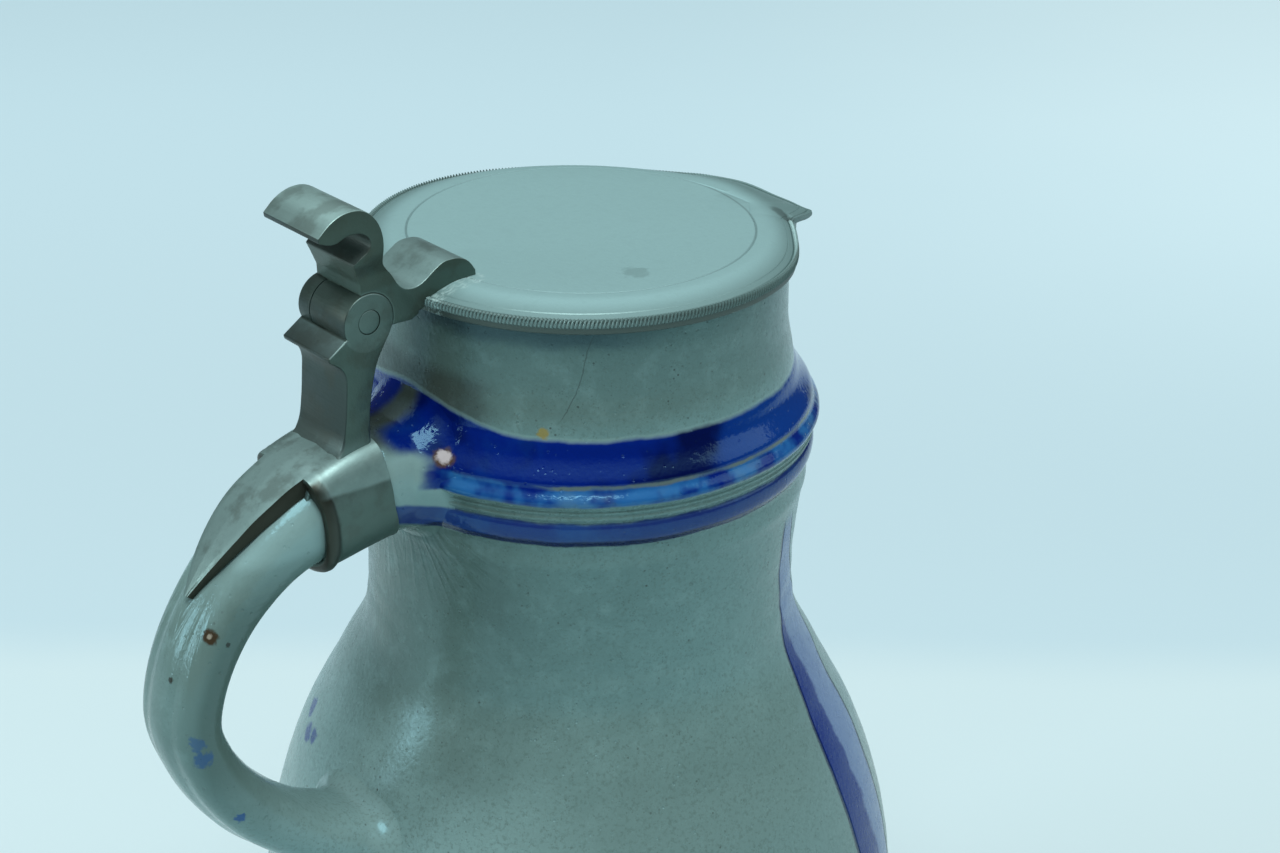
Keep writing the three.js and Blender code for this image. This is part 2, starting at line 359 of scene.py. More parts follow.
def shifted(thing: Thing, move: Callable[[Vector], Vector]) -> Thing:
    """Moves every point of a piece.

    Args:
        thing: The piece.
        move: Gives each point's new place, both in millimetres.

    Returns:
        The piece.
    """
    for corner in thing.data.vertices:
        corner.co = move(corner.co / MM) * MM
    thing.data.update()
    return thing


def softened(thing: Thing, angle: float = 35) -> Thing:
    """Shades a piece smooth, but for its edges sharper than angle degrees."""
    pick(thing)
    bpy.ops.object.shade_smooth_by_angle(angle=math.radians(angle))
    return thing


# Finishes


class Wiring:
    """A node tree while it is being wired."""

    def __init__(self, tree: bpy.types.NodeTree) -> None:
        """Takes up a tree."""
        self.tree = tree

    def feed(self, target: Socket, value: object) -> None:
        """Links a socket to an input, or sets the input to a number or a colour.

        Args:
            target: The input.
            value: A socket, a number, or a colour of three numbers.
        """
        if isinstance(value, bpy.types.NodeSocket):
            self.tree.links.new(value, target)
        elif isinstance(value, (int, float)):
            target.default_value = value
        else:
            target.default_value = (*value, 1.0) if len(target.default_value) == 4 else value

    def node(self, kind: str, inputs: dict[str | int, object], **settings: object) -> bpy.types.Node:
        """Adds a node.

        Args:
            kind: Its type, after the word ShaderNode.
            inputs: What each of its inputs gets, by the input's name or number.
            settings: Its other settings.

        Returns:
            The node.
        """
        node = self.tree.nodes.new("ShaderNode" + kind)
        for key, value in settings.items():
            setattr(node, key, value)
        for key, value in inputs.items():
            self.feed(node.inputs[key], value)
        return node

    def rise(self, value: object, *limits: float) -> Socket:
        """Adds a smooth rise of a value, from limits 0 and 1 to limits 2 and 3."""
        inputs = dict(zip(("From Min", "From Max", "To Min", "To Max"), limits))
        return self.node("MapRange", {"Value": value, **inputs}, interpolation_type="SMOOTHSTEP").outputs["Result"]


class Recipe(Wiring):
    """A material while it is being made."""

    def __init__(self, name: str) -> None:
        """Starts a material of that name."""
        self.material = bpy.data.materials.new(name)
        self.material.use_nodes = True
        super().__init__(self.material.node_tree)
        coordinates = self.node("TexCoord", {})
        self.place = self.vector("SCALE", coordinates.outputs["Object"], scale=1 / MM)
        self.x, self.y, self.z = self.node("SeparateXYZ", {0: self.place}).outputs
        facing = self.node("SeparateXYZ", {0: coordinates.outputs["Normal"]})
        self.face_x, self.face_y, self.lie = facing.outputs
        self.radius = self.length(self.x, self.y)
        self.turn = self.sum("ARCTAN2", self.y, self.x)
        self.azimuth = self.sum("DEGREES", self.turn)
        self.colour: object = (0, 0, 0)

    def sum(self, kind: str, a: object, b: object = 0.0, c: object = 0.0) -> Socket:
        """Adds a Math node of up to three values."""
        return self.node("Math", {0: a, 1: b, 2: c}, operation=kind).outputs[0]

    def mask(self, value: object) -> object:
        """Turns (value, low, high) into a step, and with a fourth number into a band, and leaves the rest."""
        if not isinstance(value, tuple):
            return value
        return self.step(*value) if len(value) == 3 else self.band(*value)

    def times(self, *values: object) -> object:
        """Multiplies values or masks."""
        return reduce(lambda a, b: self.sum("MULTIPLY", a, b), map(self.mask, values))

    def plus(self, *values: object) -> object:
        """Adds values up."""
        return reduce(lambda a, b: self.sum("ADD", a, b), values)

    def most(self, *values: object) -> object:
        """Takes the greatest of values or masks."""
        return reduce(lambda a, b: self.sum("MAXIMUM", a, b), map(self.mask, values))

    def less(self, a: object, b: object) -> Socket:
        """Takes b from a."""
        return self.sum("SUBTRACT", a, b)

    def rest(self, share: object) -> Socket:
        """Returns what a share leaves of 1."""
        return self.less(1.0, share)

    def absolute(self, value: object) -> Socket:
        """Returns a value without its sign."""
        return self.sum("ABSOLUTE", value)

    def scaled(self, value: object, by: object, start: object) -> Socket:
        """Returns start and by times the value."""
        return self.sum("MULTIPLY_ADD", value, by, start)

    def length(self, a: object, b: object) -> Socket:
        """Returns how long a line is that goes a one way and b across."""
        return self.sum("SQRT", self.scaled(a, a, self.times(b, b)))

    def vector(self, kind: str, a: object, b: object = (0, 0, 0), scale: object = 1.0) -> Socket:
        """Adds a Vector Math node.

        Args:
            kind: Its operation.
            a: Its first vector.
            b: Its second vector.
            scale: Its scale, where the operation has one.

        Returns:
            Its result.
        """
        node = self.node("VectorMath", {0: a, 1: b, 3: scale}, operation=kind)
        return node.outputs["Value"] if kind == "LENGTH" else node.outputs[0]

    def step(self, value: object, low: float, high: float) -> Socket:
        """Adds a smooth rise from 0 at low to 1 at high, which may be below low."""
        return self.rise(value, min(low, high), max(low, high), float(low >= high), float(low < high))

    def band(self, value: object, low: float, high: float, soft: float) -> Socket:
        """Marks the numbers from low to high with 1, between edges that fade over soft."""
        half = soft / 2
        return self.times(self.step(value, low - half, low + half), self.step(value, high + half, high - half))

    def mix(self, amount: object, a: object, b: object) -> Socket:
        """Mixes two colours, with a number or a mask as the share of the second."""
        return self.node("Mix", {"Factor": self.mask(amount), 6: a, 7: b}, data_type="RGBA").outputs[2]

    def lay(self, paint: object, *amounts: object) -> None:
        """Lays paint over the colour, as strongly as the amounts and masks say when multiplied."""
        self.colour = self.mix(self.times(*amounts), self.colour, paint)

    def dab(self, spots: Sequence[Sequence]) -> None:
        """Lays spots over the colour, each given as its paint, its strength and what spot() takes."""
        for paint, strength, *shape in spots:
            self.lay(paint, self.spot(*shape), strength)

    def traced(self, value: object, places: Line) -> Socket:
        """Reads a drawn line.

        Args:
            value: The number to read it at.
            places: The line's [result, number] points.

        Returns:
            The line's result there.
        """
        results, numbers = zip(*places)
        low, left = min(numbers), min(results)
        high, right = max(numbers), max(results)
        node = self.node("FloatCurve", {"Value": self.sum("DIVIDE", self.less(value, low), high - low)})
        points = sorted(((z - low) / (high - low), (a - left) / (right - left)) for a, z in places)
        curve = node.mapping.curves[0]
        curve.points[0].location, curve.points[1].location = points[0], points[-1]
        for place in points[1:-1]:
            curve.points.new(*place)
        node.mapping.update()
        return self.scaled(node.outputs[0], right - left, left)

    def stretched(self, factors: Sequence[float], start: Socket | None = None) -> Socket:
        """Scales the place by a factor along each axis."""
        return self.vector("MULTIPLY", start or self.place, factors)

    def clouds(self, size: float, detail: float = 3.0, rough: float = 0.55, start: Socket | None = None) -> Socket:
        """Adds noise.

        Args:
            size: How large its lumps are, in millimetres.
            detail: How many finer layers it has.
            rough: How strong these are.
            start: The place to read it at, or nothing for the piece's own.

        Returns:
            A number around 0.5.
        """
        inputs = {"Vector": start or self.place, "Scale": 1 / size, "Detail": detail, "Roughness": rough}
        return self.node("TexNoise", inputs).outputs[0]

    def wander(self, size: float, amount: float, detail: float = 3.0, rough: float = 0.55) -> Socket:
        """Adds noise about 0 that spans amount, in lumps size millimetres across."""
        return self.scaled(self.clouds(size, detail, rough), amount, -amount / 2)

    def cells(self, size: float) -> Socket:
        """Adds the distance to the nearest of many scattered points, size millimetres apart."""
        return self.node("TexVoronoi", {"Vector": self.place, "Scale": 1 / size}).outputs["Distance"]

    def bump(self, height: Socket, depth: float, below: Socket | None = None) -> Socket:
        """Adds relief, depth millimetres deep where height is 1, on the relief below it."""
        inputs = {"Strength": 1.0, "Distance": depth * MM, "Height": height}
        return self.node("Bump", inputs if below is None else {**inputs, "Normal": below}).outputs[0]

    def spot(self, place: Sequence[float], radius: float, ragged: float = 0.5,
             stretch: Sequence[float] = (1, 1, 1)) -> Socket:
        """Marks a ragged spot.

        Args:
            place: Its centre, in millimetres.
            radius: Its radius.
            ragged: How far its edge wanders, as a share of its radius.
            stretch: By how much each axis counts, so that less than 1 makes it longer that way.

        Returns:
            1 inside and 0 outside.
        """
        away = self.vector("LENGTH", self.stretched(stretch, self.vector("SUBTRACT", self.place, place)))
        edge = self.wander(radius * 0.7, 2 * ragged * radius)
        return self.step(self.plus(away, edge), radius, radius * 0.55)

    def done(self, **settings: object) -> bpy.types.Material:
        """Gives the shader the colour and its settings, by name with _ for a space, and returns the material."""
        shader = self.tree.nodes["Principled BSDF"]
        for key, value in {"Base Color": self.colour, **settings}.items():
            self.feed(shader.inputs[key.replace("_", " ")], value)
        return self.material


@dataclass(frozen=True)
class StonewareGlaze:
    """Grey stoneware under a salt glaze, painted with cobalt where its bands and panel say so."""

    name: str
    painted: bool = True
    light: Colour = (0.165, 0.285, 0.275)
    brown: Colour = (0.098, 0.158, 0.14)
    pale: Colour = (0.25, 0.40, 0.39)
    cobalt: Colour = (0.001, 0.013, 0.18)
    dark_cobalt: Colour = (0.001, 0.004, 0.06)
    crest_blue: Colour = (0.02, 0.13, 0.36)
    washed_blue: Colour = (0.006, 0.06, 0.27)
    lilac: Colour = (0.13, 0.2, 0.38)
    clay: Colour = (0.13, 0.155, 0.12)
    speck: Colour = (0.035, 0.035, 0.025)
    ochre: Colour = (0.30, 0.22, 0.02)
    lid_shadow: Colour = (0.03, 0.055, 0.07)
    chips: Sequence[Sequence] = (
        ((0.10, 0.06, 0.04), 1.0, (-48.8, -15.1, 216.3), 2.7, 0.4),
        ((0.60, 0.55, 0.55), 1.0, (-48.8, -15.1, 216.3), 2.0, 0.6),
        ((0.05, 0.035, 0.02), 1.0, (-101.3, -8.0, 191.0), 1.9, 0.5),
        ((0.30, 0.28, 0.22), 1.0, (-101.6, -8.2, 191.3), 0.8, 0.4),
        (speck, 1.0, (-98.5, -9.9, 189.0), 0.7),
        (speck, 1.0, (-107.9, -2.9, 181.3), 0.8),
        (washed_blue, 0.5, (-107.0, -9.5, 169.0), 2.2, 0.9),
        (washed_blue, 0.6, (-106.0, -9.7, 165.0), 2.6, 0.9),
        (washed_blue, 0.8, (-98.7, -9.6, 147.6), 1.5, 0.9))
    dabs: Rows = ((146, 133, 3.4), (151, 129, 3.0), (148, 125, 2.6), (155, 131, 2.4))
    crack: Line = ((-126.5, 244.5), (-127.8, 242.1), (-129.5, 236.6), (-131.5, 231.2), (-135, 226))
    panel_outer: Line = (
        (50.8, 192), (49.1, 177.3), (47.2, 163.2), (48, 153.9), (50, 144.2), (51.4, 133.4), (51.6, 121.8),
        (51.2, 110.2), (48, 90), (40, 66), (22, 46), (0, 38))
    panel_inner: Line = (
        (46, 192), (38, 175), (27, 160), (24.2, 152.5), (29.5, 144.5), (30.7, 132.8), (33, 121.5), (33.3, 109.6),
        (34.1, 97.8), (30, 76), (16, 58), (0, 52))
    panel_depth: Line = ((0, 178), (0, 172), (3.5, 160), (7, 146), (8, 130), (8, 40))
    rosette: Pair = (104, 11)
    spout_yaw: float = -15.5
    gloss: float = 1.45
    glassy: float = 0.06
    sheen: Colour = (0.4, 0.85, 1.0)

    def make(self) -> bpy.types.Material:
        """Makes the material."""
        made = Recipe(self.name)
        relief = made.bump(self.clay_and_salt(made), 0.10)
        rough = made.scaled(made.clouds(3), 0.24, 0.14 if self.painted else 0.04)
        if self.painted:
            bare = made.colour
            blue, cut = self.bands(made), self.panel(made)
            made.colour = made.mix((made.radius, 43.8, 44.2), bare, made.colour)
            self.body_marks(made)
            relief = made.bump(made.times(cut, -1.0), 0.5, relief)
        else:
            self.handle_marks(made)
            blue = self.bands(made)
        made.dab(self.chips)
        rough = made.mix(made.times(blue, 0.85), rough, (self.glassy,) * 3)
        return made.done(Roughness=rough, Normal=relief, IOR=self.gloss, Specular_Tint=self.sheen)

    def clay_and_salt(self, made: Recipe) -> Socket:
        """Makes the bare glaze's colour, with painted light low on the belly and painted shade on the neck under
        the lid and on the belly's right side.

        Args:
            made: The material's nodes.

        Returns:
            Its orange-peel relief.
        """
        across = made.less(made.times(made.x, 0.5), made.times(made.y, 0.866))
        round_it = made.plus(made.sum("DIVIDE", across, made.radius), made.wander(40, 1.4))
        fine = made.clouds(0.9, 3, 0.6)
        made.colour = made.mix((round_it, -0.7, 1.1), self.brown, self.light)
        # painted light: paler low on the belly, with a ragged edge
        made.lay(self.pale, (made.plus(made.z, made.wander(26, 40)), 170, 118), 0.8)
        # painted shade: the neck darker under the lid
        made.lay(self.brown, (made.z, 222, 228), 0.55)
        made.lay(self.pale, (made.clouds(5, 4, 0.6), 0.45, 0.8), 0.3)
        made.lay(self.brown, (fine, 0.52, 0.3), 0.45)
        made.lay(self.speck, (made.cells(0.75), 0.3, 0.15), (made.clouds(2.6, 2), 0.46, 0.6), 0.3)
        scattered = made.most((made.clouds(11, 2), 0.44, 0.66), made.spot((-9, -45, 231), 9, 0.6))
        made.lay(self.speck, (made.cells(1.5), 0.22, 0.12), (made.clouds(1.7, 1, 0.5), 0.52, 0.6), scattered, 0.8)
        # painted shade: the belly's right side darkened with brown
        made.lay(self.brown, (across, -10, 40), (made.z, 165, 140), 0.45)
        arc, drop = made.plus(made.absolute(made.y), -4.0), made.less(made.z, 206)
        ray = made.times(made.sum("ARCTAN2", drop, arc), 14)
        brushed = made.clouds(1, 2, 0.5, made.vector("MULTIPLY", ray, (1, 0, 0)))
        where = made.times((made.length(arc, drop), 9, 28, 9), (made.x, -40, -45), (made.z, 199.5, 197))
        pits = made.times((made.cells(1.9), 0.2, 0.08), (made.clouds(4, 2), 0.45, 0.6))
        peel = made.scaled(made.clouds(1.1, 2, 0.5), 0.7, made.times(fine, 0.3))
        return made.less(made.plus(peel, made.times(brushed, where, 2.6)), pits)

    def bands(self, made: Recipe) -> Socket:
        """Paints the cobalt bands round the collar.

        Args:
            made: The material's nodes.

        Returns:
            Where there is cobalt.
        """
        wander = made.wander(7, 2.4)
        height = made.plus(made.z, made.times(wander, 0.5))
        round_it = made.absolute(made.azimuth)
        lowered = made.less(height, made.times((round_it, 142, 182), 5))
        near_handle = made.step(made.plus(round_it, made.times(wander, 2)), 136, 142)
        made.lay(self.pale, (made.plus(round_it, wander), 157, 163), (made.z, 203, 217.5, 3), 0.85)
        made.lay(self.speck, (made.plus(round_it, made.times(wander, 4)), 150, 160), (made.z, 219, 232, 4), 0.6)
        down_to = made.most((height, 213.0, 213.8), made.times(near_handle, (height, 209.4, 210.4)))
        upper = made.times((lowered, 222.1, 221.3), down_to)
        crest = made.band(height, 209.6, 213.4, 0.8)
        lower = made.band(height, 200.2, 205.2, 0.7)
        if not self.painted:
            curl = made.less(height, made.times((made.radius, 52, 61), 2.4))
            lower = made.times((curl, 200.2, 205.2, 1.0), (made.x, -68, -62))
            higher = made.times((made.z, 215, 221), 12)
            root = made.plus(round_it, made.less(made.times(wander, 1.5), higher))
            root = made.times((root, 166.5, 162.5), (made.radius, 60, 56))
            upper, crest = made.times(upper, root), made.times(crest, root)
        washed = made.times((made.clouds(16, 4, 0.6), 0.46, 0.68), 0.75)
        right = made.step(made.absolute(made.plus(made.azimuth, 50)), 62, 30)
        blue = made.mix(made.most(made.times(washed, 0.45), made.times(right, 0.55)), self.cobalt, self.washed_blue)
        made.lay(made.mix((made.clouds(22), 0.52, 0.38), blue, self.dark_cobalt), upper)
        blue = made.mix((made.clouds(9), 0.38, 0.6), self.cobalt, self.crest_blue)
        made.lay(blue, crest, made.rest(made.times(washed, 0.5)))
        if self.painted:
            patchy = made.scaled(made.step(made.clouds(9), 0.4, 0.6), 0.7, 0.15)
            made.lay(self.clay, (height, 212.9, 213.7, 0.5), made.rest(near_handle), patchy)
        made.lay(made.mix(made.times(washed, 0.7), self.cobalt, self.washed_blue), lower, 0.9)
        made.lay(self.dark_cobalt, (height, 199.7, 201.2, 0.7), (made.radius, 54, 52))
        # painted highlight: a pale line along the upper band's top edge
        if self.painted:
            made.lay(self.pale, (lowered, 221.3, 222.3, 0.6), 0.4)
        return made.most(upper, crest, lower)

    def panel(self, made: Recipe) -> Socket:
        """Paints the incised panel below the spout.

        Args:
            made: The material's nodes.

        Returns:
            Where its lines are cut.
        """
        half_turn = made.absolute(made.less(made.azimuth, self.spout_yaw))
        from_outer = made.less(half_turn, made.traced(made.z, self.panel_outer))
        from_inner = made.less(half_turn, made.traced(made.z, self.panel_inner))
        held = made.times((made.z, 40, 48), (made.z, 192, 186))
        depth = made.plus(from_outer, made.traced(made.z, self.panel_depth), made.wander(5, 5, 4, 0.65))
        fill = made.mix(made.times((depth, -0.8, 0.6), (made.z, 174, 166)), self.lilac, self.cobalt)
        made.lay(fill, (from_outer, 0.2, -0.5), (from_inner, -0.4, 0.3), held)
        lines = made.times(made.most((from_outer, -0.45, 0.45, 0.5), (from_inner, -0.45, 0.45, 0.5)), held)
        centre, size = self.rosette
        across, up = made.times(half_turn, 1.27), made.less(made.z, centre)
        reach = made.length(across, up)
        leaf = made.absolute(made.sum("COSINE", made.times(made.sum("ARCTAN2", up, across), 4)))
        petals = made.less(reach, made.scaled(leaf, size, size))
        made.lay(self.washed_blue, (petals, 0.2, -1.2), (reach, 5.5, 6.4))
        cut = made.most(lines, (petals, -0.4, 0.4, 0.5), (reach, 4.9, 5.7, 0.5))
        made.lay(self.dark_cobalt, cut, 0.85)
        return cut

    def body_marks(self, made: Recipe) -> None:
        """Adds the body's own flaws: an ochre spot, a hairline crack and blue dabs by the handle's foot; and a
        painted shadow on the neck under the lid.

        Args:
            made: The material's nodes.
        """
        def on_wall(azimuth: float, height: float, radius: float) -> Sequence[float]:
            """Returns the place on the wall at an azimuth, a height and a radius."""
            angle = math.radians(azimuth)
            return radius * math.cos(angle), radius * math.sin(angle), height

        made.dab([(self.ochre, 0.8, on_wall(-139.4, 223, 46.5), 1.5)])
        made.dab([(self.cobalt, 0.85, on_wall(azimuth, up, 63.5), size, 0.6) for azimuth, up, size in self.dabs])
        made.dab([(self.speck, 0.8, on_wall(178.5, 127.3, 66), 1.2),
                  (self.brown, 0.5, (-43.6, -22, 187), 6.5, 0.5, (1, 1, 0.5))])
        under_lid = made.plus(made.z, made.times(made.clouds(5), 4))
        made.lay(self.lid_shadow, (under_lid, 241.5, 245), (made.x, -8, -30), 0.7)
        off = made.plus(made.less(made.azimuth, made.traced(made.z, self.crack)), made.wander(2.5, 1.2))
        made.lay(self.speck, (off, -0.14, 0.14, 0.2), (made.z, 226, 244, 3), 0.55)

    def handle_marks(self, made: Recipe) -> None:
        """Adds the handle's tones: pale above; brown streaks between, laid only on faces turned towards -Y, streaky
        tone and painted shade; and painted light, paler on the faces turned outwards and below.

        Args:
            made: The material's nodes.
        """
        away = made.step(made.radius, 56, 68)
        streaky = made.clouds(7, 3, 0.5, made.stretched((0.3, 1, 0.3)))
        made.lay(self.pale, away, (made.z, 186, 204), 0.6)
        # brown streaks on faces turned towards -Y: streaky tone and painted shade
        made.lay(self.brown, (streaky, 0.3, 0.55), away, (made.face_y, -0.2, -0.6), (made.z, 152, 198, 18), 0.9)
        # painted light: paler on the faces turned outwards and low on the handle
        outer = made.most(made.times((made.face_x, -0.1, -0.6), (made.z, 200, 185)), (made.z, 164, 152))
        made.lay(self.pale, outer, away, 0.2)


class Wear(Enum):
    """How a pewter surface has been used."""

    TURNED = "turned"
    CAST = "cast"
    SOLDERED = "soldered"


@dataclass(frozen=True)
class Pewter:
    """Old pewter: matt and greenish, with painted light and shade: lighter on faces that point up, darker on the
    sides.
    """

    name: str
    wear: Wear
    lit_and_clean: Colour = (0.24, 0.37, 0.355)
    shaded_and_dull: Colour = (0.066, 0.114, 0.097)
    brown: Colour = (0.04, 0.042, 0.026)
    olive: Colour = (0.055, 0.088, 0.07)
    tooth_and_crease_shade: Colour = (0.04, 0.06, 0.055)
    darker_ring: Colour = (0.06, 0.10, 0.10)
    rim_shade_and_grime: Colour = (0.05, 0.07, 0.06)
    hollow_shade: Colour = (0.026, 0.034, 0.028)
    back_shade: Colour = (0.028, 0.046, 0.044)
    edge_shade_and_grime: Colour = (0.024, 0.026, 0.016)
    rubbed: Colour = (0.55, 0.80, 0.78)
    solder: Colour = (0.55, 0.78, 0.76)
    lit_and_thumbed: Colour = (0.44, 0.66, 0.62)
    facet: Colour = (0.30, 0.46, 0.44)
    apex_highlight: Colour = (0.42, 0.62, 0.60)
    band_edge: Line = ((-81.2, 231.9), (-79.2, 220.4), (-77.1, 215.9), (-76, 210.9), (-75.7, 190.9))
    metallic: float = 0.6

    def make(self) -> bpy.types.Material:
        """Makes the material."""
        made = Recipe(self.name)
        fine = made.clouds(2.2, 4, 0.65)
        # painted light and shade: faces that point up take the lit colour, sides and undersides the shaded one
        made.colour = made.mix((made.plus(made.lie, made.wander(20, 0.5)), 0.05, 0.85), self.shaded_and_dull, self.lit_and_clean)
        made.lay(self.shaded_and_dull, (fine, 0.5, 0.75), 0.1 if self.wear is Wear.TURNED else 0.25)
        relief = made.bump(made.clouds(0.8, 3, 0.6), 0.03)
        if self.wear is Wear.CAST:
            relief = made.bump(made.clouds(0.7, 3, 0.5, made.stretched((1, 0.12, 1))), 0.05, relief)
        {Wear.TURNED: self.turned, Wear.CAST: self.cast, Wear.SOLDERED: self.soldered}[self.wear](made)
        return made.done(Roughness=made.scaled(fine, 0.2, 0.33), Normal=relief, Metallic=self.metallic)

    def turned(self, made: Recipe) -> None:
        """Finishes the lid: a faint stain, scratched solder by the hinge, a darker line in the turned ring, a paler
        strip on the knurl by the hinge, painted shade between the knurl's teeth and along the crease, and painted
        shade with grime on the rim's side.

        Args:
            made: The material's nodes.
        """
        # a darker line along the turned ring
        made.lay(self.darker_ring, (made.radius, 37.05, 37.55, 0.4), 0.4)
        made.lay(self.shaded_and_dull, (made.radius, 40, 46), 0.62)
        slant = made.times(made.less(made.radius, made.z), SLANT)
        wave = made.sum("COSINE", made.scaled(made.turn, TEETH, slant))
        toothed = made.times((made.radius, 46.2, 46.7), (made.z, 246.5, 246.8))
        made.lay(self.rubbed, toothed, (made.x, 0, -30), 0.3)
        off_flap = made.step(made.x, 42, 38)
        made.lay(self.shaded_and_dull, toothed, off_flap, 0.5)
        # painted shade between the knurl's teeth, following their wave
        made.lay(self.tooth_and_crease_shade, toothed, off_flap, (wave, 0.2, -0.6), 0.55)
        # painted shade along the crease, and a faint stain on the plate
        made.dab([(self.tooth_and_crease_shade, 0.5, (41.2, -20.0, 249.0), 2.6, 0.3, (1.2, 0.5, 0.5)),
                  (self.shaded_and_dull, 0.3, (-8.4, -26.9, 250.0), 3.4, 0.8)])
        # painted shade with grime: darker on the rim's side below the knurl
        made.lay(self.rim_shade_and_grime, (made.z, 246.9, 246.3), (made.lie, 0.5, 0.1), off_flap, 0.8)
        ragged = made.wander(3, 5, 4, 0.6)
        by_tang = made.times((made.plus(made.x, ragged), -47, -34, 1.2),
                             (made.plus(made.absolute(made.y), ragged), 11.5, 10))
        scratches = made.clouds(0.5, 3, 0.6, made.stretched((0.35, 1, 1)))
        made.lay(self.solder, by_tang, (scratches, 0.42, 0.62), 0.6)

    def cast(self, made: Recipe) -> None:
        """Finishes the hinge's castings: painted shade in olive on the high near faces, on the barrel and under the
        head, deeper painted shade in the head's hollow and on the faces turned outwards, painted light with thumb
        wear on the head's top, lighter by the pin and low down, and brown patches.

        Args:
            made: The material's nodes.
        """
        near = made.step(made.face_y, -0.5, -0.8)
        elsewhere = made.rest(near)
        high = made.step(made.z, 252.6, 254)
        by_pin = made.step(made.length(made.plus(made.x, PIN[0]), made.less(made.z, PIN[1])), 6.5, 6.1)
        hollow = made.times((made.x, -61.5, -63), (made.lie, 0.2, -0.3), high)
        # painted shade in olive: the near faces high up, the barrel round the pin and the head's underside
        made.lay(self.olive, made.most(made.times(near, high), made.times(by_pin, elsewhere), hollow), 0.85)
        made.lay(self.lit_and_clean, by_pin, near, 0.2)
        # painted shade: the hollow under the head
        made.lay(self.hollow_shade, (made.z, 259.6, 266.6, 1.4), (made.x, -69.5, -60.2, 1.4), elsewhere, 0.8)
        # painted shade: the faces turned outwards, away from the jug
        made.lay(self.back_shade, (made.x, -65, -67), (made.face_x, -0.4, -0.7), 0.9)
        # painted light with thumb wear: paler on the head's upward faces
        made.lay(self.lit_and_thumbed, (made.z, 265.5, 267), (made.lie, 0.2, 0.6), 0.5)
        made.lay(self.lit_and_clean, (made.z, 224, 219), 0.45)
        made.lay(self.brown, (made.clouds(9, 4, 0.6), 0.46, 0.62), 0.35)

    def soldered(self, made: Recipe) -> None:
        """Finishes the band and tongue: soft patches, brown along the rear edge and the tongue's walls on faces
        turned sideways or down (painted shade with grime), painted light on the near upper facet, and a painted
        highlight at the apex.

        Args:
            made: The material's nodes.
        """
        made.lay(self.brown, (made.clouds(6, 4, 0.6), 0.48, 0.66), 0.35)
        behind = made.plus(made.less(made.x, made.traced(made.z, self.band_edge)), made.wander(3, 1.2))
        side = made.most((made.absolute(made.face_y), 0.35, 0.6), (made.lie, 0.15, -0.1))
        # painted shade with grime: brown behind the band's rear edge on faces turned sideways or down
        made.lay(self.edge_shade_and_grime, (behind, 3.2, 2.2), side, 0.95)
        front = made.step(made.x, -77, -73)
        wrinkled = made.scaled(made.clouds(3.5, 4, 0.6), 0.8, 0.25)
        # painted light: the near upper facet, with wrinkles
        made.lay(self.facet, (made.z, 213.6, 214.6), (made.face_y, -0.3, -0.5), front, wrinkled)
        made.lay(self.lit_and_clean, (made.z, 214, 212), (made.face_y, -0.3, -0.6), front, 0.12)
        # painted highlight at the apex where the tongue meets the band
        made.dab([(self.apex_highlight, 0.25, (-75.2, -5.5, 217.6), 2.2, 0.3)])


@dataclass(frozen=True)
class Paper:
    """The pale ground that the jug stands on: lighter in front, bluer further back."""

    name: str = "pale_ground"
    near: Colour = (0.64, 0.79, 0.81)
    far: Colour = (0.56, 0.73, 0.78)
    distant: Colour = (0.65, 0.85, 0.91)
    bright: Colour = (0.78, 0.96, 1.0)
    seam: float = 227.0

    def make(self) -> bpy.types.Material:
        """Makes the material."""
        made = Recipe(self.name)
        depth = made.plus(made.times(made.x, 0.665), made.times(made.y, 0.747))
        across = made.less(made.times(made.x, 0.747), made.times(made.y, 0.665))
        wander = made.wander(160, 60, 2)
        away = made.step(depth, 300, 900)
        far = made.mix(made.times((made.plus(across, wander), -50, 500), away),
                       made.mix(away, self.far, self.distant), self.bright)
        seam = made.plus(depth, made.times(wander, 0.4))
        made.colour = made.mix((seam, self.seam - 16, self.seam + 22), self.near, far)
        return made.done(Roughness=0.9)


# The jug


@dataclass(frozen=True)
class SpoutPull:
    """Draws a round rim outwards and down into a pouring lip."""

    yaw: float = -15.5
    half_angle: float = 32.0
    near_half_angle: float = 20.0
    reach: float = 9.2
    droop: float = 4.0
    start: float = 31.0
    border: float = 39.0
    rim: float = 47.5
    notched: bool = False

    def move(self, place: Vector, amount: float) -> Vector:
        """Moves a point with the spout.

        Args:
            place: The point, in millimetres.
            amount: How much of the pull reaches it, from 0 to 1.

        Returns:
            Its new place.
        """
        radius = math.hypot(place.x, place.y)
        if amount <= 0 or radius < 1:
            return place
        off = math.atan2(place.y, place.x) - math.radians(self.yaw)
        turn = abs(math.atan2(math.sin(off), math.cos(off)))
        near = math.sin(off) < 0
        half = math.radians(self.near_half_angle if near else self.half_angle)
        across = max(0.0, 1 - turn / half)
        tangent = (1 / math.cos(half - min(turn, half)) - 1) / (1 / math.cos(half) - 1)
        if self.notched and near:
            tangent = across**1.15
        out = self.reach * tangent * smoothstep(radius, self.start, self.rim) * amount
        down = self.droop * across**1.5 * smoothstep(radius, self.border, self.rim) * amount
        return widened(place, (radius + out) / radius, -down)


